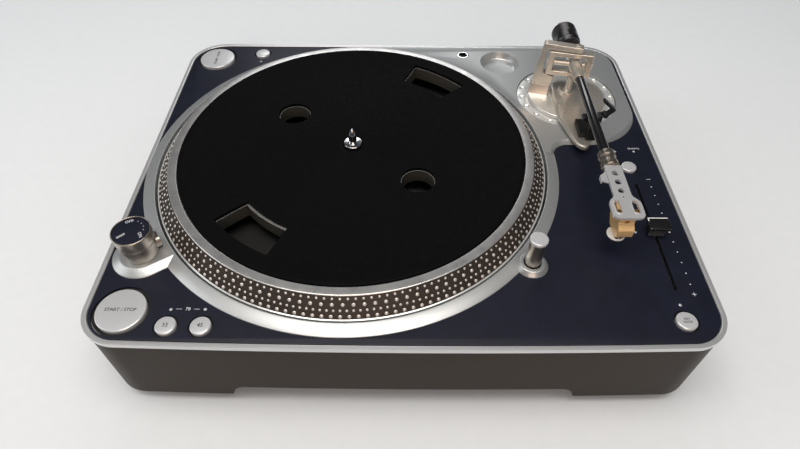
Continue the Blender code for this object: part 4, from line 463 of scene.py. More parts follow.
def grained(tree, shader, grain, depth, stretch=(1, 1, 1), detail=2.0):
    """Bump from noise of grain millimetres, depth millimetres deep, stretched along an axis by a share."""
    place = add(tree, "ShaderNodeTexCoord").outputs["Object"]
    place = add(tree, "ShaderNodeMapping", {"Vector": place, "Scale": stretch}).outputs["Vector"]
    noise = add(tree, "ShaderNodeTexNoise", {"Vector": place, "Scale": per(grain), "Detail": detail})
    bump = add(tree, "ShaderNodeBump", {
        "Height": noise.outputs["Fac"], "Distance": depth / 1000, "Strength": 0.6,
    })
    tree.links.new(bump.outputs["Normal"], shader.inputs["Normal"])


def ringed(tree, shader, spacing, depth):
    """Fine rings about the object's own Z, as a lathe tool or a mould leaves them."""
    place = add(tree, "ShaderNodeTexCoord").outputs["Object"]
    flat = add(tree, "ShaderNodeVectorMath", {0: place, 1: (1, 1, 0)}, operation="MULTIPLY")
    reach = add(tree, "ShaderNodeVectorMath", {0: flat.outputs["Vector"]}, operation="LENGTH")
    rate = 2 * math.pi * per(spacing)
    turns = add(tree, "ShaderNodeMath", {0: reach.outputs["Value"], 1: rate}, operation="MULTIPLY")
    wave = add(tree, "ShaderNodeMath", {0: turns.outputs["Value"]}, operation="SINE")
    bump = add(tree, "ShaderNodeBump", {
        "Height": wave.outputs["Value"], "Distance": depth / 1000, "Strength": 0.5,
    })
    tree.links.new(bump.outputs["Normal"], shader.inputs["Normal"])


def blank_finish(name, rough, metallic=0.0, coat=(0.0, 0.1), specular=0.5):
    made = bpy.data.materials.new(name)
    made.use_nodes = True
    shader = made.node_tree.nodes["Principled BSDF"]
    shader.inputs["Roughness"].default_value = rough
    shader.inputs["Metallic"].default_value = metallic
    shader.inputs["Coat Weight"].default_value, shader.inputs["Coat Roughness"].default_value = coat
    shader.inputs["Specular IOR Level"].default_value = specular
    return made, made.node_tree, shader


def finish(name, tint, *gloss, worn=None, grain=None, rings=None, **more):
    """
    A finish by its measures. tint is one colour, or the arguments of mottled; gloss and more are those of
    blank_finish; worn, grain and rings are those of roughened, grained and ringed.
    """
    made, tree, shader = blank_finish(name, *gloss, **more)
    if isinstance(tint, str):
        shader.inputs["Base Color"].default_value = linear(tint)
        tint = None
    for step, measures in ((mottled, tint), (roughened, worn), (grained, grain), (ringed, rings)):
        if measures:
            step(tree, shader, *measures)
    return made


def board_laminate(name, top):
    # Green solder mask over fine copper tracks below the height top, dark moulded components above it.
    made, tree, shader = blank_finish(name, 0.35, 0.0, (0.4, 0.1))
    place = add(tree, "ShaderNodeTexCoord").outputs["Object"]
    tracks = add(tree, "ShaderNodeTexBrick", {
        "Vector": place, "Color1": linear("1f4a33"), "Color2": linear("1b432e"), "Mortar": linear("3a7350"),
        "Scale": per(9), "Mortar Size": 0.03, "Brick Width": 0.9, "Row Height": 0.28,
    })
    height = add(tree, "ShaderNodeSeparateXYZ", {0: place})
    above = add(tree, "ShaderNodeMath", {0: height.outputs["Z"], 1: top}, operation="GREATER_THAN")
    blend = add(tree, "ShaderNodeMix", {
        "Factor": above.outputs["Value"], 6: tracks.outputs["Color"], 7: linear("1c1c1f"),
    }, data_type="RGBA")
    tree.links.new(blend.outputs[2], shader.inputs["Base Color"])
    roughened(tree, shader, 0.3, 0.45, 3.0)
    return made


def layered(name, low, high, spacing, metallic, rough, along):
    # Stacked sheets or wound wire, in bands of the given spacing along one axis.
    made, tree, shader = blank_finish(name, rough, metallic)
    place = add(tree, "ShaderNodeTexCoord").outputs["Object"]
    bands = add(tree, "ShaderNodeTexWave", {
        "Vector": place, "Scale": per(spacing) / 3, "Distortion": 0.3, "Detail Scale": per(6),
    }, bands_direction=along).outputs["Fac"]
    blend = add(tree, "ShaderNodeMix", {"Factor": bands, 6: linear(low), 7: linear(high)}, data_type="RGBA")
    tree.links.new(blend.outputs[2], shader.inputs["Base Color"])
    bump = add(tree, "ShaderNodeBump", {"Height": bands, "Distance": 0.00015, "Strength": 0.6})
    tree.links.new(bump.outputs["Normal"], shader.inputs["Normal"])
    return made


# Flake, blasted and eroded grain, brush lines and tool marks are some 0.02 to 0.1 mm on the real one, too
# fine to show, so each is drawn as coarse as it needs to show.
ABS_GRAIN = (0.3, 0.02)
INK_GRAIN = (0.2, 0.004)
FINISHES = {
    # Metallic lacquer sprayed over the moulded cover: soft wide highlights with a faint sparkle.
    "silver": finish(
        "sprayed_silver_lacquer", ("ced0d1", "dbdcdd", 0.6, 4.0), 0.34, 0.72, (0.25, 0.25),
        grain=(0.5, 0.01)),
    # The same lacquer on the raised fields, a tone darker as painted shade, and duller.
    "raised": finish(
        "shaded_silver_raised_fields", ("b2b5b6", "c3c6c7", 0.6, 4.0), 0.38, 0.72, (0.25, 0.25),
        grain=(0.5, 0.01)),
    # The outer wall's silver lacquer with painted shade: a dark warm brown where the wall lies in shadow,
    # with a fine orange peel.
    "shell": finish(
        "shaded_silver_shell_lacquer", ("271f18", "332a22", 0.8, 4.0), 0.45, 0.25, (0.03, 0.3), 0.15,
        grain=(0.7, 0.015)),
    # Dark navy lacquer under a satin clear coat: almost black, blue where it catches the light.
    "navy": finish(
        "navy_panel_lacquer", ("0f111b", "161a2c", 14.0), 0.42, 0.0, (0.12, 0.2), 0.3, grain=(0.35, 0.006)),
    # Painted shade: flat black in place of the silver cover, on the well's floor and under the panels, where
    # little light comes.
    "well": finish("matt_black_painted_shade", ("090909", "111112", 3.0), 0.7),
    # Cast aluminium turned on a lathe: a soft broad sheen, with a faint unevenness.
    "aluminium": finish(
        "turned_aluminium", ("c8c8c8", "d9d8d6", 8.0), 0.32, 0.85,
        worn=(0.26, 0.34, 10.0), grain=(1.2, 0.0015)),
    # Walls of the openings, with painted shade: a dull dark olive grey well below the aluminium's tone,
    # slightly pitted.
    "shaded_opening_wall": finish("painted_shade_opening_wall", ("34322d", "484640", 1.5), 0.6, 0.3, grain=(0.6, 0.03)),
    # The strobe slope, etched dark between its dots: a rough brown black grain.
    "slope": finish(
        "etched_strobe_slope", ("1f1a17", "4c423c", 0.9, 2.0), 0.55, 0.4,
        grain=(0.9, 0.12, (1, 1, 1), 1.0)),
    # Dots left bright where the slope was masked, each a low polished dome.
    "dot": finish("polished_strobe_dot", ("d2cdc6", "eae6e0", 1.5), 0.34, 0.55, grain=(0.3, 0.004)),
    # Moulded rubber with a dull surface, and rings too shallow to see but in raking light.
    "mat": finish(
        "moulded_mat_rubber", ("050506", "09090b", 6.0), 0.6, worn=(0.52, 0.68, 4.0), rings=(1.6, 0.006),
        specular=0.06),
    # Soft rubber feet, dusty black.
    "rubber": finish("foot_rubber", ("141414", "232323", 2.5), 0.75, grain=(0.6, 0.03)),
    # Polished chrome plate: mirrors the room, with a little blur from handling.
    "chrome": finish("polished_chrome_plate", "e2e3e5", 0.08, 1.0, worn=(0.05, 0.14, 3.0)),
    # Nickel brushed round the knob: fine level lines that soften the upright highlight.
    "nickel": finish(
        "brushed_nickel", ("b0a9a0", "c6c0b8", 2.0), 0.33, 1.0, grain=(0.25, 0.003, (0.05, 0.05, 1.0))),
    # Die cast zinc with a satin nickel finish, warm and bright, its light spread by a fine blasted grain.
    "arm": finish(
        "satin_arm_nickel", ("d1c9bd", "e2dcd2", 3.0), 0.34, 0.82,
        worn=(0.29, 0.38, 5.0), grain=(0.4, 0.004)),
    # The arm's foot disc, turned and polished brighter than the rest.
    "foot_disc": finish("polished_foot_disc", ("dcdad4", "edebe6", 4.0), 0.36, 0.72, rings=(0.9, 0.0006)),
    # Bright satin lacquer on the height ring, so that each dimple throws back one highlight.
    "dial": finish(
        "satin_height_ring_lacquer", ("cdcfce", "dfe0df", 3.0), 0.24, 0.5, (0.4, 0.12), grain=(0.4, 0.003)),
    # Plated nut turned by hand: chrome darkened and browned as a painted reflection of dark warm
    # surroundings, blurred by wear.
    "nut": finish("worn_nut_plating_painted_reflection", ("8a8076", "b3aa9f", 2.0), 0.24, 0.9, worn=(0.18, 0.32, 2.0)),
    # Silver painted ABS keys: a flat pale grey with a soft satin light.
    "key": finish(
        "silver_key_lacquer", ("c6c8ca", "d8dadc", 1.2), 0.3, 0.45, (0.3, 0.15), grain=(0.4, 0.005)),
    # Gloss enamel on the arm tube: deep black with a hard clear highlight.
    "enamel": finish("gloss_black_enamel", ("0d0d0e", "171718", 5.0), 0.22, 0.0, (0.8, 0.06)),
    # Moulded ABS with a fine spark eroded grain.
    "abs": finish("moulded_black_abs", ("121213", "1c1c1e", 1.5), 0.42, grain=ABS_GRAIN),
    # The same ABS in a paler grey as a painted reflection on the cap's lower front face, and duller.
    "painted_reflection_grey": finish("grey_painted_reflection_abs", ("3a3a3c", "4c4c4e", 1.5), 0.5, grain=ABS_GRAIN),
    # The same ABS, polished by fingers.
    "gloss": finish("polished_black_abs", ("121213", "1c1c1e", 1.5), 0.2, grain=ABS_GRAIN),
    # Satin black enamel on the turned steel weight.
    "weight": finish(
        "satin_black_enamel", ("121214", "1f1f22", 2.0), 0.33, 0.2, (0.3, 0.2), grain=(0.4, 0.01)),
    # Pale silver lacquer on the pressed headshell plate, nearly white in the light.
    "headshell": finish(
        "pale_silver_headshell", ("cecfd0", "e2e3e4", 1.0), 0.3, 0.6, (0.3, 0.12), grain=(0.3, 0.005)),
    # Gold metallic plastic of the cartridge body.
    "cartridge": finish(
        "gold_metallic_plastic", ("d0a870", "e2bd8a", 0.8), 0.34, 0.35, (0.3, 0.15), grain=(0.3, 0.006)),
    # White moulded plate round the stylus.
    "plate": finish("white_stylus_plate", ("c6c3bd", "d8d5d0", 1.0), 0.35, 0.1, (0.3, 0.1)),
    # Gold plating on brass contacts and the fixing screws.
    "gold": finish("gold_plated_brass", ("c2a470", "d9be8e", 1.0), 0.24, 1.0),
    # Smoked acrylic over the red strobe lamps.
    "lens": finish("smoked_red_acrylic", ("170c0a", "2a1712", 2.0), 0.12, 0.0, (0.8, 0.05)),
    # A small moulded lamp, off but tinted.
    "lamp": finish("clear_lamp_lens", ("5b6068", "d9dde2", 0.8), 0.18, 0.0, (0.6, 0.05)),
    # Screen printed inks, slightly raised and dull, thinner in places.
    "white_ink": finish("white_screen_print", ("c2c5cb", "a3a6ad", 0.5), 0.6, grain=INK_GRAIN),
    "dark_ink": finish("dark_screen_print", ("26272b", "3a3b40", 0.5), 0.6, grain=INK_GRAIN),
    "board_low": board_laminate("main_board_laminate", 0.0271),
    "board_high": board_laminate("switch_board_laminate", 0.0767),
    "coil": layered("wound_copper_wire", "8a4a26", "d08a5a", 0.6, 1.0, 0.35, "Z"),
    "core": layered("laminated_iron_core", "3d3c3c", "6a6866", 0.7, 0.9, 0.45, "X"),
    # Zinc plated pressings: a cool grey with large dull flowers.
    "zinc": finish("zinc_plated_steel", ("9a9ea2", "b6babc", 4.0), 0.38, 0.95, worn=(0.32, 0.5, 6.0)),
    # Pressed ferrite magnet: charcoal with a gritty fracture grain.
    "ferrite": finish("pressed_ferrite", ("252426", "38373a", 1.0), 0.6, 0.2, grain=(0.5, 0.04)),
    # Moulded insulating rings of the sockets, coded by their colour.
    "white_ring": finish(
        "white_socket_insulator", ("d9d8d2", "e6e5e0", 1.0), 0.35, 0.0, (0.2, 0.1), grain=(0.3, 0.008)),
    "red_ring": finish(
        "red_socket_insulator", ("9c1f1c", "b12b26", 1.0), 0.35, 0.0, (0.2, 0.1), grain=(0.3, 0.008)),
    # Pale paper sweep, hardly uneven.
    "floor": finish("pale_paper_floor", ("d5d8da", "dadddf", 12.0), 0.85),
}


# Body
def sloped(outline_of, reach, low, foot, top, edge, steps=5):
    """A raised field: upright to foot, then leaning in by reach to its top, with a rounded edge."""
    inner = reach + 3 * edge
    section = [(0, low, 0), (0.0, foot), (reach, top), (inner, top, 0), (inner, low, 0)]
    section = eased(section, edge, steps, True)
    return stack([(outline_of(shrink), height) for shrink, height in section[:-2]])


def hoop(outline_of, section):
    """A closed section of (inset, height) carried round an outline."""
    return stack([(outline_of(shrink), height) for shrink, height in section], closed=True)


def body_wall():
    top = DECK + COVER_LOW - GAP
    skin = [(0.0016, FOOT_HEIGHT), (WALL_INSET, FOOT_HEIGHT + 0.0009), (WALL_INSET, top)]
    inside = prism(deck_outline(WALL_INSET + 0.003), FOOT_HEIGHT - FAR, top + FAR)
    half, front = 0.13, -DEPTH / 2
    lining = rectangle(-half - 0.003, half + 0.003, front + 0.0035, front + 0.032)
    low, high, narrow = FOOT_HEIGHT - FAR, FOOT_HEIGHT + 0.013, half - 0.005
    mouth = eased([
        (-half, low, 0), (half, low, 0), (half, FOOT_HEIGHT, 0), (narrow, high, 0.008),
        (-narrow, high, 0.008),
        (-half, FOOT_HEIGHT, 0),
    ], 0.005, 8)
    openings = [
        (TAKE, across(
            rectangle(x - wide, x + wide, REAR_HEIGHT - tall, REAR_HEIGHT + tall),
            DEPTH / 2 - FAR / 4, DEPTH / 2 + FAR,
        ))
        for x, wide, tall in ((-0.06, 0.042, 0.014), (0.135, 0.015, 0.011))
    ]
    shape = carved(
        stack([(deck_outline(shrink), height) for shrink, height in skin]),
        (TAKE, inside),
        (ADD, prism(lining, FOOT_HEIGHT + GAP, FOOT_HEIGHT + 0.016)),
        (TAKE, across(mouth, front - FAR, front + 0.029)),
        *openings,
    )
    # Painted shade: the wall's silver paint is drawn in the dark warm brown of the shell finish.
    piece("body_wall", shape, "shell", "base", "silver_paint", stands_for=["base_tub"], edge=0.0005)
    foot = spun([
        (0, 0.0), (0.026, 0.0), (0.028, 0.002), (0.0262, 0.0085), (0.0254, 0.0092), (0.025, 0.01),
        (0.0245, FOOT_HEIGHT), (0, FOOT_HEIGHT),
    ], 0.0006)
    for side, x in (("left", -WIDTH / 2 + 0.048), ("right", WIDTH / 2 - 0.048)):
        for end, y in (("front", -DEPTH / 2 + 0.052), ("rear", DEPTH / 2 - 0.052)):
            name = f"foot_{end}_{side}"
            piece(f"rubber_{name}", foot.copy(), "rubber", "base", "black_rubber", (x, y, 0), [name])
    foot.free()


def knob_field(shrink):
    return capsule(KNOB, 0.0227 - shrink, BOSS_TURN, 0.022, 32)


def seats():
    """Bores for the arm's column, the adapter dish and the spare headshell."""
    return bore(0.0477, ARM, 128), bore(0.0203, DISH, 96), bore(0.0063, SOCKET, 48)


def deck():
    make = partial(piece, body="base", slot="silver_paint", at=(0, 0, DECK))
    ledge = 0.006
    rim = eased([
        (0, COVER_LOW), (0, 0), (RIM_WIDTH, 0), (RIM_WIDTH, PANEL_FLOOR), (ledge, PANEL_FLOOR),
        (ledge, COVER_LOW),
    ], 0.0012)
    rim = [(0, COVER_LOW)] + [p for p in rim if p[1] > COVER_LOW + 0.0007 and p[0] < RIM_WIDTH + 0.0001]
    rim += [(ledge, PANEL_FLOOR), (ledge, COVER_LOW)]
    make("silver_rim", hoop(deck_outline, rim), "silver", stands_for=["top_cover"])
    floor = cut(
        prism(deck_outline(0.0061), COVER_LOW + GAP, PANEL_FLOOR),
        bore(RING_FOOT - 0.002, PLATTER, 192),
        *holes(0.0002),
        *seats(),
    )
    # Painted shade: the cover under the panels is black, so the gaps round the keys and the fader slot read
    # dark.
    make("cover_under_panels", floor, "well", edge=0.0002)
    panel = cut(
        pad(deck_outline(RIM_WIDTH + 0.0003), PANEL_LOW, PANEL_TOP, 0, 0.0005),
        bore(RING_FOOT + 0.0002, PLATTER, 192),
        prism(knob_field(-0.0002), -FAR, FAR),
        bore(0.0127, LIGHT, 64),
        prism(island_outline(-0.0002), -FAR, FAR),
        *holes(0.0022, 0.001),
    )
    panels = ["deck_panel_front", "deck_panel_rear"]
    make("navy_deck_panel", panel, "navy", slot="navy_paint", stands_for=panels, edge=0.0002)
    ring = spun([
        (WELL_RADIUS, -0.0004, 0), (WELL_RADIUS, 0.00305, 0.0004), (WELL_RADIUS + 0.0009, 0.00305, 0.0006),
        (RING_FOOT, PANEL_TOP + 0.0003, 0.0004), (RING_FOOT, PANEL_FLOOR, 0),
        (WELL_RADIUS + 0.002, PANEL_FLOOR, 0),
    ], 0.0004, 256)
    light_boss = spun([
        (0, PANEL_FLOOR), (0.0125, PANEL_FLOOR, 0), (0.0125, PANEL_TOP), (0.0095, RAISED_TOP),
        (0, RAISED_TOP),
    ], 0.0007, 64)
    field = joined(
        sloped(knob_field, 0.0065, PANEL_FLOOR, PANEL_TOP, RAISED_TOP, 0.0008),
        moved(light_boss, (*LIGHT, 0)),
        sloped(island_outline, 0.0035, PANEL_FLOOR, PANEL_TOP, RAISED_TOP, 0.0008),
    )
    field = carved(
        field,
        (TAKE, bore(WELL_RADIUS + 0.0004, PLATTER, 192)),
        (ADD, moved(ring, (*PLATTER, 0))),
        *((TAKE, seat) for seat in seats()),
        (TAKE, bore(0.0068, LIGHT, 48)),
        (TAKE, bore(0.0035, KNOB, 32)),
    )
    # Painted shade: the ring, the island and the bosses take the darker copy of the silver lacquer.
    make("raised_silver_fields", field, "raised", sharp=24)
    wall = spun([
        (WELL_RADIUS, -0.0005), (WELL_RADIUS + 0.003, -0.0005), (WELL_RADIUS + 0.003, -0.013),
        (0.062, -0.013), (0.062, -0.01), (WELL_RADIUS, -0.01, 0.003),
    ], 0.0003, 192)
    well = make("platter_well", wall, "raised", at=on_deck(PLATTER))
    # Painted shade: the well's floor, inside its silver wall, in flat black.
    repainted(well, ["well"], lambda middle, _: math.hypot(middle.x, middle.y) < WELL_RADIUS - 0.004)
    bowl = spun([
        (0, -0.0045), (0.0175, -0.0045, 0.003), (0.0199, 0.0029, 0.0005), (0.0203, 0.003, 0.0001),
        (0.0203, -0.007), (0, -0.007),
    ], 0.0003, 128)
    make("adapter_bowl", bowl, "raised", at=on_deck(DISH))
    socket = spun([
        (0.0042, 0.0034), (0.006, 0.0034), (0.006, -0.0226), (0, -0.0226), (0, -0.0196), (0.0042, -0.0196),
    ], 0.0003, 64)
    make(
        "headshell_holder", socket, "chrome", slot="steel", at=on_deck(SOCKET),
        stands_for=["headshell_socket"],
    )


LAMPS = {
    "speed_33": (SPEED_33[0], SPEED_33[1] + 0.0136),
    "speed_45": (SPEED_45[0], SPEED_45[1] + 0.0139),
    "reverse": (REVERSE[0], REVERSE[1] - 0.014),
    "quartz_left": (QUARTZ[0] - 0.007, QUARTZ[1] + 0.0207),
    "quartz_right": (QUARTZ[0] + 0.01, QUARTZ[1] + 0.0207),
    "key_lock": (KEY_LOCK[0], KEY_LOCK[1] + 0.0137),
    "pitch_centre": (FADER[0] - 0.0145, FADER[1] + 0.0008),
}
START_BUTTONS = {"start_front": START_FRONT, "start_rear": START_REAR}
SMALL_BUTTONS = {
    "speed_33": (SPEED_33, 0.0073),
    "speed_45": (SPEED_45, 0.0073),
    "reverse": (REVERSE, 0.0073),
    "quartz": (QUARTZ, 0.0065),
    "key_lock": (KEY_LOCK, 0.0074),
}


def holes(wide, narrow=None):
    """Cutters for the buttons, lamps and the fader slot, wider than each by these clearances."""
    narrow = wide if narrow is None else narrow
    shapes = [bore(START_RADIUS + 0.0005 + wide, place, 96) for place in START_BUTTONS.values()]
    shapes += [bore(radius + 0.0005 + narrow, place, 64) for place, radius in SMALL_BUTTONS.values()]
    shapes += [bore(0.0015, place, 24) for place in LAMPS.values()]
    x, y = FADER
    slot = rounded(x - 0.0013, x + 0.0013, y - 0.0541, y + 0.0541, 0.0012)
    return [together(*shapes, prism(slot, -FAR, FAR))]


# Rows of strobe dots: how many, how far down the slope as a share of it, and their radius
DOT_ROWS = ((180, 0.155, 0.00095), (133, 0.396, 0.00135), (216, 0.633, 0.00095), (160, 0.878, 0.00135))
DOT_SIDES = 10


def ring_dots():
    """Four rings of low domes down the platter's slope: small, large, small, large."""
    shape = bmesh.new()
    top, low = Vector((0.154, 0, 0.0155)), Vector((0.165, 0, 0.0015))
    lean = math.atan2(low.x - top.x, top.z - low.z)
    face = Matrix.Rotation(math.pi / 2 - lean, 4, "Y")
    for count, share, radius in DOT_ROWS:
        centre = top.lerp(low, share)
        for step in range(count):
            spin = Matrix.Rotation(2 * math.pi * step / count, 4, "Z")
            place = spin @ Matrix.Translation(centre) @ face
            outer, inner = [], []
            for x, y in circle(radius, DOT_SIDES):
                outer.append(shape.verts.new(place @ Vector((x, y, -0.00005))))
                inner.append(shape.verts.new(place @ Vector((0.75 * x, 0.75 * y, 0.2 * radius))))
            tip = shape.verts.new(place @ Vector((0, 0, 0.28 * radius)))
            for side in range(DOT_SIDES):
                after = (side + 1) % DOT_SIDES
                shape.faces.new((outer[side], outer[after], inner[after], inner[side]))
                shape.faces.new((inner[side], inner[after], tip))
    return shape


def platter_openings(low, high, grow, inward=0.0):
    """The two round and the two curved openings, grown all round and, for the curved ones, inward."""
    shapes = []
    for angle in (-37.5, 142.5):
        place = arc((0, 0), 0.0695, angle, angle, 1)[0]
        shapes.append(moved(rod(0.0135 + grow, low, high, 64), (*place, 0)))
    widen = math.degrees(grow / 0.105)
    inner = 0.105 - grow - inward
    for start, end in ((221.0, 245.0), (41.0, 65.0)):
        shapes.append(prism(sector(inner, 0.132 + grow, start - widen, end + widen, 0.0015), low, high))
    return together(*shapes)


def platter_region(middle, normal):
    """A platter face's place among its finishes: 1 the slope, 2 the rim's band, 3 an opening's wall."""
    radius = math.hypot(middle.x, middle.y)
    if 0.1545 < radius < 0.1647 and middle.z > 0.0015 and normal.z > 0.2:
        return 1
    if radius > 0.1645:
        return 2
    return 3 if 0.05 < radius < 0.14 and abs(normal.z) < 0.5 else 0


def platter():
    make = partial(piece, body="platter_body", slot="cast_aluminium", at=on_deck(PLATTER))
    casting = spun([
        (0.0039, 0.0134), (0.1472, 0.0134), (0.1472, 0.0155, 0.0004), (0.154, 0.0155, 0.0006),
        (0.1648, 0.0016, 0.0002), (0.166, 0.0013, 0.0004), (0.166, -0.0014, 0.0003),
        (0.1655, -0.0019, 0.0002),
        (0.166, -0.0024, 0.0003), (0.166, -0.004, 0.0005), (0.163, -0.004), (0.1604, -0.001),
        (0.1523, 0.0094),
        (0.014, 0.0094), (0.014, 0.0024), (0.0039, 0.0024),
    ], 0.0003, 256)
    casting = carved(
        casting,
        (ADD, platter_openings(0.0019, 0.0114, 0.002)),
        (TAKE, platter_openings(-FAR, FAR, 0)),
    )
    body = make("turned_platter", casting, "aluminium", stands_for=["platter"])
    # The slope and the rim's band get their own finishes; the openings' walls get painted shade in dark
    # olive grey.
    repainted(body, ["slope", "dial", "shaded_opening_wall"], platter_region)
    make("strobe_dots", ring_dots(), "dot", sharp=60)
    mat = cut(
        spun([
            (0.0082, 0.0138), (0.1467, 0.0138), (0.1467, 0.0166, 0.0012), (0.142, 0.0168), (0.141, 0.0164),
            (0.015, 0.0164), (0.014, 0.0168), (0.0082, 0.0168, 0.0004),
        ], 0.0004, 256),
        platter_openings(-FAR, FAR, 0.0006, 0.0013),
    )
    make("slip_mat", mat, "mat", slot="mat_rubber", stands_for=["platter_mat"], edge=0.0003)
    spindle = spun([
        (0, 0.0332), (0.001, 0.0331, 0.0004), (0.0036, 0.0277, 0.0012), (0.0036, 0.0192, 0.0004),
        (0.0074, 0.0192),
        (0.00775, 0.0188), (0.00775, 0.0138, 0), (0.0036, 0.0138, 0), (0.0036, -0.0377), (0, -0.0377),
    ], 0.0004, 64)
    make("record_spindle", spindle, "chrome", slot="chrome", stands_for=["spindle"])


def oval(width, height, start, end):
    """A bar along X with round ends to its section, from start to end."""
    section = rounded(-height / 2, height / 2, -width / 2, width / 2, 0.48 * height, 10)
    return sideways(prism(section, start, end))


def power_tower():
    make = partial(piece, body="knob_body", slot="brushed_nickel", at=on_deck(KNOB))
    low, window_height = RAISED_TOP + GAP, 0.0088
    tower = spun([(0.0033, low), (0.0126, low), (0.0135, 0.0165), (0.0033, 0.0165)], 0.0003)
    hood, pocket = (
        moved(turned(oval(*measures), BOSS_TURN, "Z"), (0, 0, window_height))
        for measures in ((0.012, 0.0095, 0.008, 0.0152), (0.0096, 0.0071, 0.013, 0.04))
    )
    tower = carved(tower, (ADD, hood), (TAKE, pocket))
    make("strobe_tower", tower, "nickel", body="base", stands_for=["strobe_housing"], edge=0.0003)
    make(
        "strobe_lens", oval(0.0091, 0.0066, 0.0131, 0.0142), "lens", body="base", slot="smoked_lens",
        at=on_deck(KNOB, window_height), turn=BOSS_TURN, stands_for=["strobe_window"], edge=0.0003,
    )
    knob = spun([
        (0, -0.012), (0.003, -0.012), (0.003, 0.0167), (0.0136, 0.0167, 0.0001), (0.0143, 0.027),
        (0.0139, 0.0275),
        (0.0134, 0.0275), (0.0131, 0.027), (0.0131, 0.0257), (0, 0.0257),
    ], 0.0003, 128)
    make("power_switch_knob", knob, "nickel", stands_for=["power_knob"])
    disc = rod(0.0128, 0.026, 0.0272, 96, 0.0002)
    make("knob_face", disc, "navy", slot="navy_paint", stands_for=["power_knob_disc"])
    bar = pad(rounded(-0.0009, 0.0009, -0.0106, -0.0042, 0.0003), 0.027, 0.0274, 0, 0.0001)
    make("knob_pointer", bar, "silver", slot="silver_paint", turn=-48)
    for step, place in enumerate(arc(KNOB, 0.0092, 6, 94, 4)):
        dot = rod(0.00035, 0.0271, 0.02735, 16)
        make(f"knob_mark_{step}", dot, "white_ink", slot="silver_paint", at=on_deck(place))
    for text, x, y, turn in (("ON", 0.008, -0.0038, -60), ("OFF", -0.0036, 0.0086, 20)):
        words(f"knob_word_{text.lower()}", text, 0.0034, (KNOB[0] + x, KNOB[1] + y), "white_ink",
              "knob_body", "silver_paint", 0.02725, turn)


def target_light():
    cap_low = 0.0272
    tube = spun([
        (0, -0.022), (0.006, -0.022), (0.006, cap_low), (0.00675, 0.0277), (0.00675, 0.0299),
        (0.0061, 0.0305),
        (0, 0.0305),
    ], 0.0004)
    turn = math.degrees(math.atan2(PLATTER[1] - LIGHT[1], PLATTER[0] - LIGHT[0]))
    mouth = moved(turned(sideways(rod(0.0025, 0.003, FAR, 32)), turn, "Z"), (0, 0, 0.0245))
    light = piece(
        "record_light", cut(tube, mouth), "key", "light_body", "button_plastic", on_deck(LIGHT),
        ["target_light"], edge=0.0002,
    )
    repainted(light, ["nickel"], lambda middle, _: middle.z < cap_low + 0.0002)


def key_cap(radius):
    """A key with a softly crowned face, hollow below with a stem."""
    low = -0.0052
    return spun([
        (0, 0.0014), (0.5 * radius, 0.00136, 0), (radius - 0.0006, 0.0011), (radius, 0.0004), (radius, low),
        (radius - 0.0013, low), (radius - 0.0013, 0), (0.0022, 0), (0.0022, low), (0, low),
    ], 0.0005)


def key(name, place, radius, node):
    piece(f"{name}_key", key_cap(radius), "key", f"{name}_body", "button_plastic", on_deck(place), [node])


def keys():
    print_on = partial(words, finish="dark_ink", slot="button_plastic")
    for name, place in START_BUTTONS.items():
        key(name, place, START_RADIUS, name.replace("start", "start_stop"))
        print_on(f"{name}_words", "START / STOP", 0.0036, place, body=f"{name}_body", rise=0.00142,
                 turn=0 if place[1] < 0 else 90)
    prints = {"speed_33": ("33", 0.0042), "speed_45": ("45", 0.0042), "key_lock": ("KEY\nLOCK", 0.0024)}
    for name, (place, radius) in SMALL_BUTTONS.items():
        key(name, place, radius, f"{name}_button")
        if name in prints:
            print_on(f"{name}_words", *prints[name], place, body=f"{name}_body", rise=0.0014)
    for name, place in LAMPS.items():
        dome = lathe([
            (0, -0.0002), (0.0006, -0.00025), (0.0011, -0.0005), (0.00125, -0.0009), (0.00125, -0.003),
            (0, -0.003),
        ], 24)
        piece(f"{name}_lamp", dome, "lamp", "base", "smoked_lens", on_deck(place))


def legends():
    shared = {"finish": "white_ink", "body": "base", "slot": "navy_paint"}
    x, y = -0.1516, -0.1538
    words("speed_78", "78", 0.0036, (x, y), rise=PANEL_TOP, **shared)
    for name, side in (("left", -1), ("right", 1)):
        dash = pad(rounded(-0.0021, 0.0021, -0.00018, 0.00018, 0.0001), 0, 0.00006, 0, 0.00002)
        piece(f"speed_dash_{name}", dash, at=on_deck((x + side * 0.0062, y), PANEL_TOP), **shared)
    scale_x = 0.2087
    for step in range(11):
        y = FADER[1] + 0.0509 - 0.00998 * step
        dot = rod(0.00055 if step != 5 else 0.0008, 0, 0.00006, 16)
        piece(f"pitch_mark_{step}", dot, at=on_deck((scale_x, y), PANEL_TOP), **shared)
    place = (QUARTZ[0] + 0.0105, QUARTZ[1] + 0.0245)
    words("quartz_word", "QUARTZ", 0.0026, place, rise=PANEL_TOP, **shared)
    for name, text, y in (("minus", "–", -0.0207), ("plus", "+", -0.1389)):
        words(f"pitch_{name}", text, 0.0062, (scale_x, y), rise=PANEL_TOP, **shared)


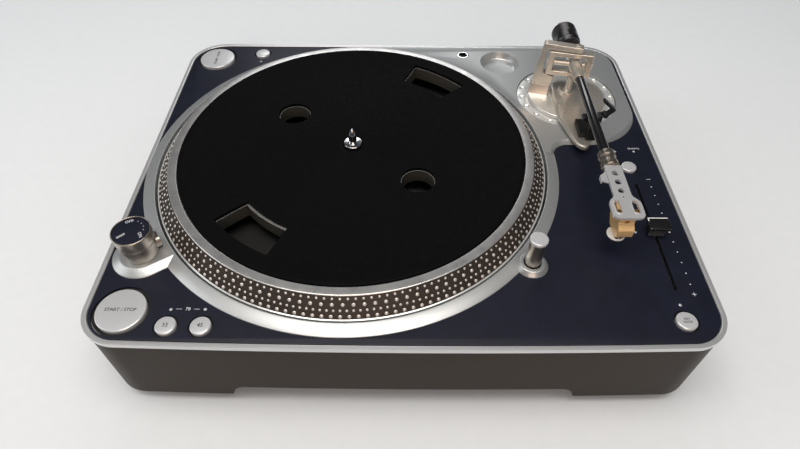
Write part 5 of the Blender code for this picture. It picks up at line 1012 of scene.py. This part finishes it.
def pitch_cap():
    make = partial(piece, body="pitch_body", slot="black_plastic", at=on_deck(FADER))
    levels = (
        (0.0022, 0.0008), (0.0022, 0.0046), (0.0019, 0.0052), (0.0002, 0.0088),
        (0, 0.0094), (0, 0.0104), (0.0003, 0.0111), (0.0009, 0.0115),
    )
    outlines = (
        (0.00865 - shrink, 0.00625 - shrink, height) for shrink, height in levels
    )
    cap = stack([(rounded(-wide, wide, -deep, deep, 0.0014, 5), height) for wide, deep, height in outlines])
    knob = make("pitch_knob", cap, "gloss", stands_for=["pitch_cap"])
    # Painted reflection: the lower front face of the cap in a paler grey.
    repainted(knob, ["painted_reflection_grey"], lambda middle, normal: middle.z < 0.009 and normal.y < -0.3)
    # Painted highlight: a white strip along the cap's rear top edge, with a short stroke down its left end.
    edge = eased([
        (-0.0079, 0.0018), (-0.0072, 0.0018), (-0.0072, 0.0046), (0.0078, 0.0046), (0.0078, 0.0054),
        (-0.0079, 0.0054, 0.001),
    ], 0.0002)
    make("pitch_line", pad(edge, 0.0113, 0.0116, 0, 0.00005), "white_ring")


# Arm
def height_ring():
    ring = spun([
        (0.024, -0.0016), (0.0472, -0.0016, 0.0002), (0.0472, 0.0015, 0.0006), (0.038, 0.0015),
        (0.024, 0.0015),
    ], 0.0002, 192)
    dimples = []
    for place in circle(0.0432, 18):
        ball = lathe([
            (0, 0.0001), (0.001, 0.0002), (0.0019, 0.0005), (0.0027, 0.001), (0.0033, 0.0016),
            (0.0037, 0.0024),
            (0, 0.0024),
        ], 32)
        dimples.append(moved(ball, (*place, 0)))
    piece(
        "height_ring", cut(ring, together(*dimples)), "dial", "height_dial_body", "silver_paint",
        on_deck(ARM), ["arm_height_dial"], sharp=40,
    )


# Corners of the slab under the arm, as shares of DISC_RADIUS to the right and forward
DISC_RADIUS = 0.0375
SLAB_SHARES = (
    (-0.41, -0.28), (-0.41, 1.06), (-0.32, 1.46), (-0.16, 2.06), (-0.06, 2.19), (0.07, 2.2), (0.22, 1.94),
    (0.64, 0.92), (0.88, 0.54), (0.92, 0.12), (0.8, -0.26), (0.56, -0.44), (-0.2, -0.44),
)


def arm_foot():
    make = partial(piece, finish="arm", body="arm_mount_body", slot="silver_paint", at=on_deck(ARM))
    disc = spun([
        (0, -0.03), (0.0205, -0.03), (0.0205, 0.0018), (DISC_RADIUS, 0.0018), (DISC_RADIUS, 0.005, 0.0014),
        (0, 0.005),
    ], 0.0004, 160)
    make("arm_foot_disc", disc, finish="foot_disc", stands_for=["arm_base"])
    outline = eased([(DISC_RADIUS * side, -DISC_RADIUS * ahead) for side, ahead in SLAB_SHARES], 0.008, 8)
    make("arm_slab", pad(outline, 0.0051, 0.0095, 0.0004, 0.0016, 6))
    post = spun([
        (0, 0.009), (0.009, 0.009), (0.009, 0.012), (0.0036, 0.0121), (0.0034, 0.0267), (0, 0.0267),
    ], 0.0006)
    make("pivot_post", post)
    half, left, right = FRAME_THICKNESS / 2, -0.0357, -0.0178
    saddle = stack([
        (rounded(left - 0.002, right, -half - 0.004, half + 0.002, 0.001), 0.0045),
        (rounded(left - 0.0007, right, -half - 0.002, half + 0.0008, 0.001), 0.0085),
        (rounded(left, right, -half, half, 0.0008), 0.0142),
    ])
    make("yoke_saddle", saddle, turn=YOKE_TURN, edge=0.0004)
    outline = eased([
        (left, -0.0245), (right, -0.0245), (-0.0159, -0.0153), (-0.0273, -0.0125, 0.003),
        (-0.0273, 0.013, 0.002), (0.0045, 0.013), (0.0045, 0.0182), (-0.031, 0.0182, 0.003),
    ], 0.0008, 6)
    yoke = across(outline, -half, half)
    make("arm_yoke", yoke, at=ARM_CENTRE, stands_for=["gimbal_yoke"], turn=YOKE_TURN, edge=0.0006)
    screw = cut(
        spun([(0, 0.0123), (0.0026, 0.0123), (0.0026, 0.0198, 0.0005), (0, 0.0198)], 0.0002, 48),
        prism(rectangle(-0.0004, 0.0004, -FAR, FAR), 0.019, FAR),
    )
    make("pivot_screw", screw, at=ARM_CENTRE, turn=20)


def cradle():
    make = partial(piece, finish="abs", body="arm_mount_body", slot="black_plastic", at=ARM_CENTRE)
    low = 0.0098 - ARM_AXIS
    floor = -0.0043
    outline = eased([
        (0.002, low), (0.0105, low), (0.0105, floor + 0.002), (0.0083, floor + 0.002),
        (0.004, floor, 0.001),
        (-0.006, floor), (-0.006, floor - 0.003), (0.002, floor - 0.006, 0.002),
    ], 0.0004)
    make("arm_cradle", across(outline, -0.0745, -0.068), stands_for=["arm_rest"], edge=0.0004)
    block = prism(rounded(-0.0035, 0.012, -0.0702, -0.05, 0.0008), low, low + 0.005)
    make("cradle_foot", block, edge=0.0005)
    hinge = Vector((0.0128, 0, -0.003))
    lug = together(
        moved(forward(rod(0.002, 0.068, 0.0696, 48, 0.0002)), hinge),
        moved(forward(rod(0.0009, 0.069, 0.0745, 24, 0.0001)), hinge),
        prism(rectangle(0.0085, 0.0126, -0.0695, -0.0681), floor - 0.003, -0.0032),
    )
    make("clip_hinge", lug)
    hook = eased([
        (-0.0012, 0), (0.0012, 0), (0.0012, 0.0098, 0.001), (-0.0138, 0.0098), (-0.0138, 0.0074),
        (-0.0012, 0.0074, 0.0008),
    ], 0.0004)
    clip = joined(turned(across(hook, -0.0742, -0.0699), 40, "Y"), forward(rod(0.002, 0.0699, 0.0742, 48)))
    clip = cut(clip, forward(rod(0.0012, 0.05, 0.09, 24)))
    place = Vector(ARM_CENTRE) + hinge
    make("tube_clip", clip, body="clip_body", at=place, stands_for=["arm_clip"], edge=0.0003)


def swinging_arm():
    make = partial(piece, finish="arm", slot="silver_paint", at=ARM_CENTRE)
    half = FRAME_THICKNESS / 2
    left, right = -0.025, 0.0155
    outer = rounded(left, right, -0.012, 0.012, 0.0016, 6)
    inner = rounded(-0.0194, 0.0097, -0.0076, 0.0076, 0.0012, 6)
    ring = cut(across(outer, -half, half), across(inner, -FAR, FAR))
    make("gimbal_frame", ring, body="ring_body", stands_for=["gimbal_ring"], turn=RING_TURN, edge=0.0006)
    screws = []
    for x, turn in ((left, 180), (right, 0)):
        screw = sideways(spun([(0, -0.001), (0.0024, -0.001), (0.0024, 0.0006), (0, 0.0006)], 0.0002, 48))
        screws.append(moved(turned(screw, turn, "Z"), (x, 0, 0)))
    make("bearing_screws", together(*screws), finish="foot_disc", body="ring_body", turn=RING_TURN)
    root = forward(spun([
        (0, -0.0685), (0.004, -0.0685), (0.004, -0.01), (0.0059, -0.01), (0.0059, 0.004, 0.002),
        (0.0047, 0.0245), (0, 0.0245),
    ], 0.0005))
    pin = turned(sideways(rod(0.0026, -0.0191, 0.0094, 48)), RING_TURN, "Z")
    make("arm_hub", joined(root, pin), body="arm_body", stands_for=["arm_root"], edge=0.0002)
    tube = forward(rod(0.004, 0.0248, 0.133, 96, 0.0003))
    make(
        "enamelled_tube", tube, finish="enamel", body="arm_body", slot="black_enamel",
        stands_for=["arm_tube"],
    )
    nut = forward(spun([
        (0.0044, 0.1245), (0.0061, 0.1245), (0.00675, 0.1251), (0.00675, 0.13), (0.006, 0.1306),
        (0.006, 0.1354), (0.00675, 0.136), (0.00675, 0.1409), (0.0061, 0.1415), (0.0044, 0.1415),
    ], 0.0003))
    make("shell_nut", nut, finish="nut", body="collar_body", slot="chrome", stands_for=["collar_nut"])


def weight():
    make = partial(piece, finish="weight", body="weight_dial_body", slot="black_weight", at=ARM_CENTRE)
    bore_radius, waist = 0.0044, 0.0118
    profile = [(bore_radius, -0.0565), (0.01, -0.0565), (waist, -0.055, 0.0006)]
    for step in range(12):
        y = -0.0545 + 0.0011 * step
        profile += [(waist, y, 0), (0.0115, y + 0.00035, 0), (waist, y + 0.0007, 0)]
    profile += [(waist, -0.033), (0.0103, -0.0305), (bore_radius, -0.0305)]
    make("balance_weight", forward(spun(profile, 0.0003)), body="weight_body", stands_for=["counterweight"])
    dial = forward(spun([
        (bore_radius, -0.0302), (0.0108, -0.0302), (0.0108, -0.027), (0.01, -0.0267),
        (bore_radius, -0.0267),
    ], 0.0003))
    make("force_dial", dial, stands_for=["weight_dial"])
    marks = ribs(rectangle(-0.00012, 0.00012, 0.0272, 0.0285), -0.00005, 0.00004, 0.01082, 30)
    make("force_marks", marks, finish="white_ink")


def ribs(outline, low, high, radius, count):
    """Small prisms standing round the Y axis at a radius, as the marks or the knurl of a dial."""
    return together(*(
        turned(moved(prism(outline, low, high), (0, 0, radius)), math.degrees(math.atan2(x, z)), "Y")
        for x, z in circle(radius, count)
    ))


def head():
    make = partial(piece, finish="headshell", body="arm_body", slot="chrome", at=ARM_CENTRE)
    narrow, wide, shoulder, front = 0.0065, 0.0115, -0.1745, -0.196
    outline = eased([
        (narrow, -0.1418, 0.0008), (-narrow, -0.1418, 0.0008), (-narrow, shoulder, 0.002),
        (-wide, shoulder - 0.005, 0.003), (-wide, front), (wide, front),
        (wide, shoulder - 0.005, 0.003), (narrow, shoulder, 0.003),
    ], 0.0055, 8)
    finger_holes = ((0.0026, 0.1503), (0.0026, 0.1598), (0.0024, 0.1688))
    cutters = [bore(radius, (0, -y), 48) for radius, y in finger_holes]
    slots = [(side * SCREW_SIDE, 0.004 - 0.1853, 0) for side in (-1, 1)]
    cutters += [moved(prism(capsule((0, 0), 0.002, -90, 0.008), -FAR, FAR), place) for place in slots]
    cutters.append(bore(0.0007, (0, -0.1752), 24))
    section = [(0.0, 0.0036), (0.0002, 0.0044), (0.0005, 0.0045), (0.0008, 0.0045), (0.0009, 0.0036)]
    rims = [
        moved(hoop(lambda shrink: capsule((0, 0), 0.0029 - shrink, -90, 0.008), section), place)
        for place in slots
    ]
    shell = cut(prism(outline, 0.002, 0.004), together(*cutters))
    make("headshell_plate", shell, stands_for=["headshell"], edge=0.0004)
    make("headshell_slot_rims", together(*rims))
    neck = together(
        forward(rod(0.004, 0.1333, 0.1472, 64, 0.0002)),
        prism(rounded(-0.00475, 0.00475, -0.1475, -0.1418, 0.0006), -0.0032, 0.0022),
    )
    make("headshell_neck", neck)
    root = -narrow - GAP
    tip = root - 0.0052
    lift = eased([(root, -0.149), (tip, -0.153), (tip, -0.159), (root, -0.161)], 0.0012)
    edge = rounded(tip, tip + 0.001, -0.1588, -0.1532, 0.0003)
    tab = joined(prism(lift, 0.003, 0.004), prism(edge, 0.001, 0.0039))
    make("lift_tab", tab, stands_for=["finger_lift"], edge=0.0002)
    cartridge(make)


def cartridge(make):
    side = eased([
        (0.1765, 0.0017), (0.1765, -0.011), (0.182, -0.0172), (0.195, -0.0172), (0.198, -0.0142),
        (0.198, -0.0075), (0.1935, -0.0045), (0.1935, 0.0017),
    ], 0.0008)
    body = cut(
        sideways(prism([(-z, -y) for y, z in side], -0.00575, 0.00575)),
        prism(rounded(-0.0022, 0.0022, -0.199, -0.1945, 0.0004), -FAR, -0.0135),
        prism(rounded(-0.0016, 0.0016, -0.1942, -0.19, 0.0003), -0.0042, -0.0018),
    )
    make(
        "cartridge_body", body, finish="cartridge", slot="gold_plastic", stands_for=["cartridge"],
        edge=0.0004,
    )
    disc = spun([
        (0, -0.0175), (0.0068, -0.0175), (0.0068, -0.0188), (0.0007, -0.0188), (0, -0.0204),
    ], 0.0003, 64)
    under = Vector(ARM_CENTRE) + Vector((-0.003, -0.1915, 0))
    make("stylus_plate", disc, finish="plate", slot="pale_plastic", at=under, stands_for=["stylus"])
    marks = together(*(
        prism(sector(0.0044, 0.0056, start, start + 22), -0.0176, -0.01735) for start in (-112, -80)
    ))
    make("stylus_plate_marks", marks, finish="abs", slot="black_plastic", at=under)
    for name, side in (("left", -1), ("right", 1)):
        screw = cut(
            spun([(0, 0.0012), (0.0016, 0.0012), (0.0016, 0.004, 0.0003), (0, 0.004)], 0.0002, 32),
            prism(rectangle(-0.0003, 0.0003, -FAR, FAR), 0.0035, FAR),
        )
        place = Vector(ARM_CENTRE) + Vector((side * SCREW_SIDE, -0.1888, 0))
        make(f"cartridge_screw_{name}", screw, finish="gold", slot="gold_plastic", at=place, turn=30)


# Sockets at the back
def rear_sockets():
    floor = DEPTH / 2 - WALL_INSET - 0.013 + GAP
    for side, x, colour in (("left", -0.069, "white_ring"), ("right", -0.051, "red_ring")):
        at = (x, floor, REAR_HEIGHT)
        barrel = rearward(spun([
            (0.0022, 0.0095), (0.0042, 0.0095), (0.0042, 0.0015), (0.0062, 0.0015), (0.0062, 0), (0, 0),
            (0, 0.0025), (0.0022, 0.0025),
        ], 0.0002, 64))
        piece(f"phono_barrel_{side}", barrel, "gold", "base", "brass", at, [f"phono_socket_{side}"])
        collar = spun([(0.0044, 0.0017), (0.006, 0.0017), (0.0056, 0.0036), (0.0044, 0.0036)], 0.0002, 64)
        piece(f"phono_insulator_{side}", rearward(collar), colour, "base", "black_plastic", at)
    post = rearward(spun([
        (0, 0), (0.0022, 0), (0.0022, 0.0045), (0.0048, 0.0045), (0.0048, 0.009), (0, 0.009),
    ], 0.0003, 64))
    knurl = ribs(rectangle(-0.00018, 0.00018, 0.0048, 0.0087), -0.0002, 0.00015, 0.00485, 28)
    at = (-0.0292, floor, REAR_HEIGHT)
    piece("earth_post", together(post, knurl), "nickel", "base", "steel", at, ["ground_post"])


# Carried over solids, with their finishes
def dress():
    looks = {
        "main_board": "board_low", "switch_board_front": "board_high", "switch_board_rear": "board_high",
        "pitch_board": "board_high", "motor_stator": "coil", "transformer": "core",
        "rotor_magnet": "ferrite",
        "bearing_housing": "zinc", "pitch_fader_body": "zinc", "pitch_lever": "zinc", "arm_collar": "zinc",
    }
    for name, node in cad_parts.items():
        node.data.materials.clear()
        node.data.materials.append(FINISHES[looks.get(name, "abs")])


# Room
def room():
    floor = bpy.data.meshes.new("floor_card")
    shape = bmesh.new()
    bmesh.ops.create_grid(shape, x_segments=1, y_segments=1, size=6.0)
    shape.to_mesh(floor)
    shape.free()
    floor.materials.append(FINISHES["floor"])
    card = bpy.data.objects.new("floor_card", floor)
    bpy.context.scene.collection.objects.link(card)
    world = bpy.data.worlds.new("studio_air")
    bpy.context.scene.world = world
    world.use_nodes = True
    # Pale air for the floor and dim air in reflections, so that metal and lacquer keep their darks.
    air = world.node_tree
    pale = air.nodes["Background"]
    pale.inputs["Color"].default_value = linear("dfe3e8")
    pale.inputs["Strength"].default_value = 0.55
    dim = add(air, "ShaderNodeBackground", {"Color": linear("aab2be"), "Strength": 0.1})
    ray = add(air, "ShaderNodeLightPath")
    blend = add(air, "ShaderNodeMixShader", {
        "Fac": ray.outputs["Is Glossy Ray"], 1: pale.outputs["Background"], 2: dim.outputs["Background"],
    })
    air.links.new(blend.outputs["Shader"], air.nodes["World Output"].inputs["Surface"])
    lamp("overhead_softbox", (-0.05, -0.25, 1.5), (0, -0.05, 0.05), (1.3, 0.7), 16, "fff8f0")
    lamp("rear_strip", (-0.1, 1.5, 1.1), (0, 0.1, 0.05), (0.9, 0.25), 3)
    lamp("left_softbox", (-1.4, -0.1, 0.9), (-0.05, 0, 0.05), (0.7, 1.0), 4.5)
    lamp("front_fill", (0.1, -1.5, 0.8), (0, 0, 0.05), (1.0, 0.5), 5.5, "ffdfc6")


def lamp(name, place, aim, size, watts, colour="ffffff"):
    light = bpy.data.lights.new(name, "AREA")
    light.color = linear(colour)[:3]
    light.shape = "RECTANGLE"
    light.size, light.size_y = size
    light.energy = watts
    holder = bpy.data.objects.new(name, light)
    holder.location = place
    holder.rotation_euler = (Vector(aim) - Vector(place)).to_track_quat("-Z", "Y").to_euler()
    bpy.context.scene.collection.objects.link(holder)


def camera():
    """At the height and angle of the photograph."""
    pitch, yaw, roll = math.radians(49.037), math.radians(0.071), math.radians(0.437)
    ahead = Vector((math.sin(yaw) * math.cos(pitch), math.cos(yaw) * math.cos(pitch), -math.sin(pitch)))
    right = Vector((math.cos(yaw), -math.sin(yaw), 0))
    up = right.cross(ahead)
    across_frame = math.cos(roll) * right + math.sin(roll) * up
    up_frame = math.cos(roll) * up - math.sin(roll) * right
    made = bpy.data.objects.new("camera", bpy.data.cameras.new("camera"))
    made.data.sensor_width = 36
    made.data.lens = 25.53
    made.data.clip_start = 0.01
    made.matrix_world = Matrix((across_frame, up_frame, -ahead)).transposed().to_4x4()
    made.location = (-0.00367, -0.36913, 0.42556)
    bpy.context.scene.collection.objects.link(made)
    bpy.context.scene.camera = made


for build in (
    body_wall, deck, platter, power_tower, target_light, keys, legends, pitch_cap, height_ring, arm_foot,
    cradle, swinging_arm, weight, head, rear_sockets, dress, room, camera,
):
    build()
bpy.context.scene.view_settings.view_transform = "Standard"
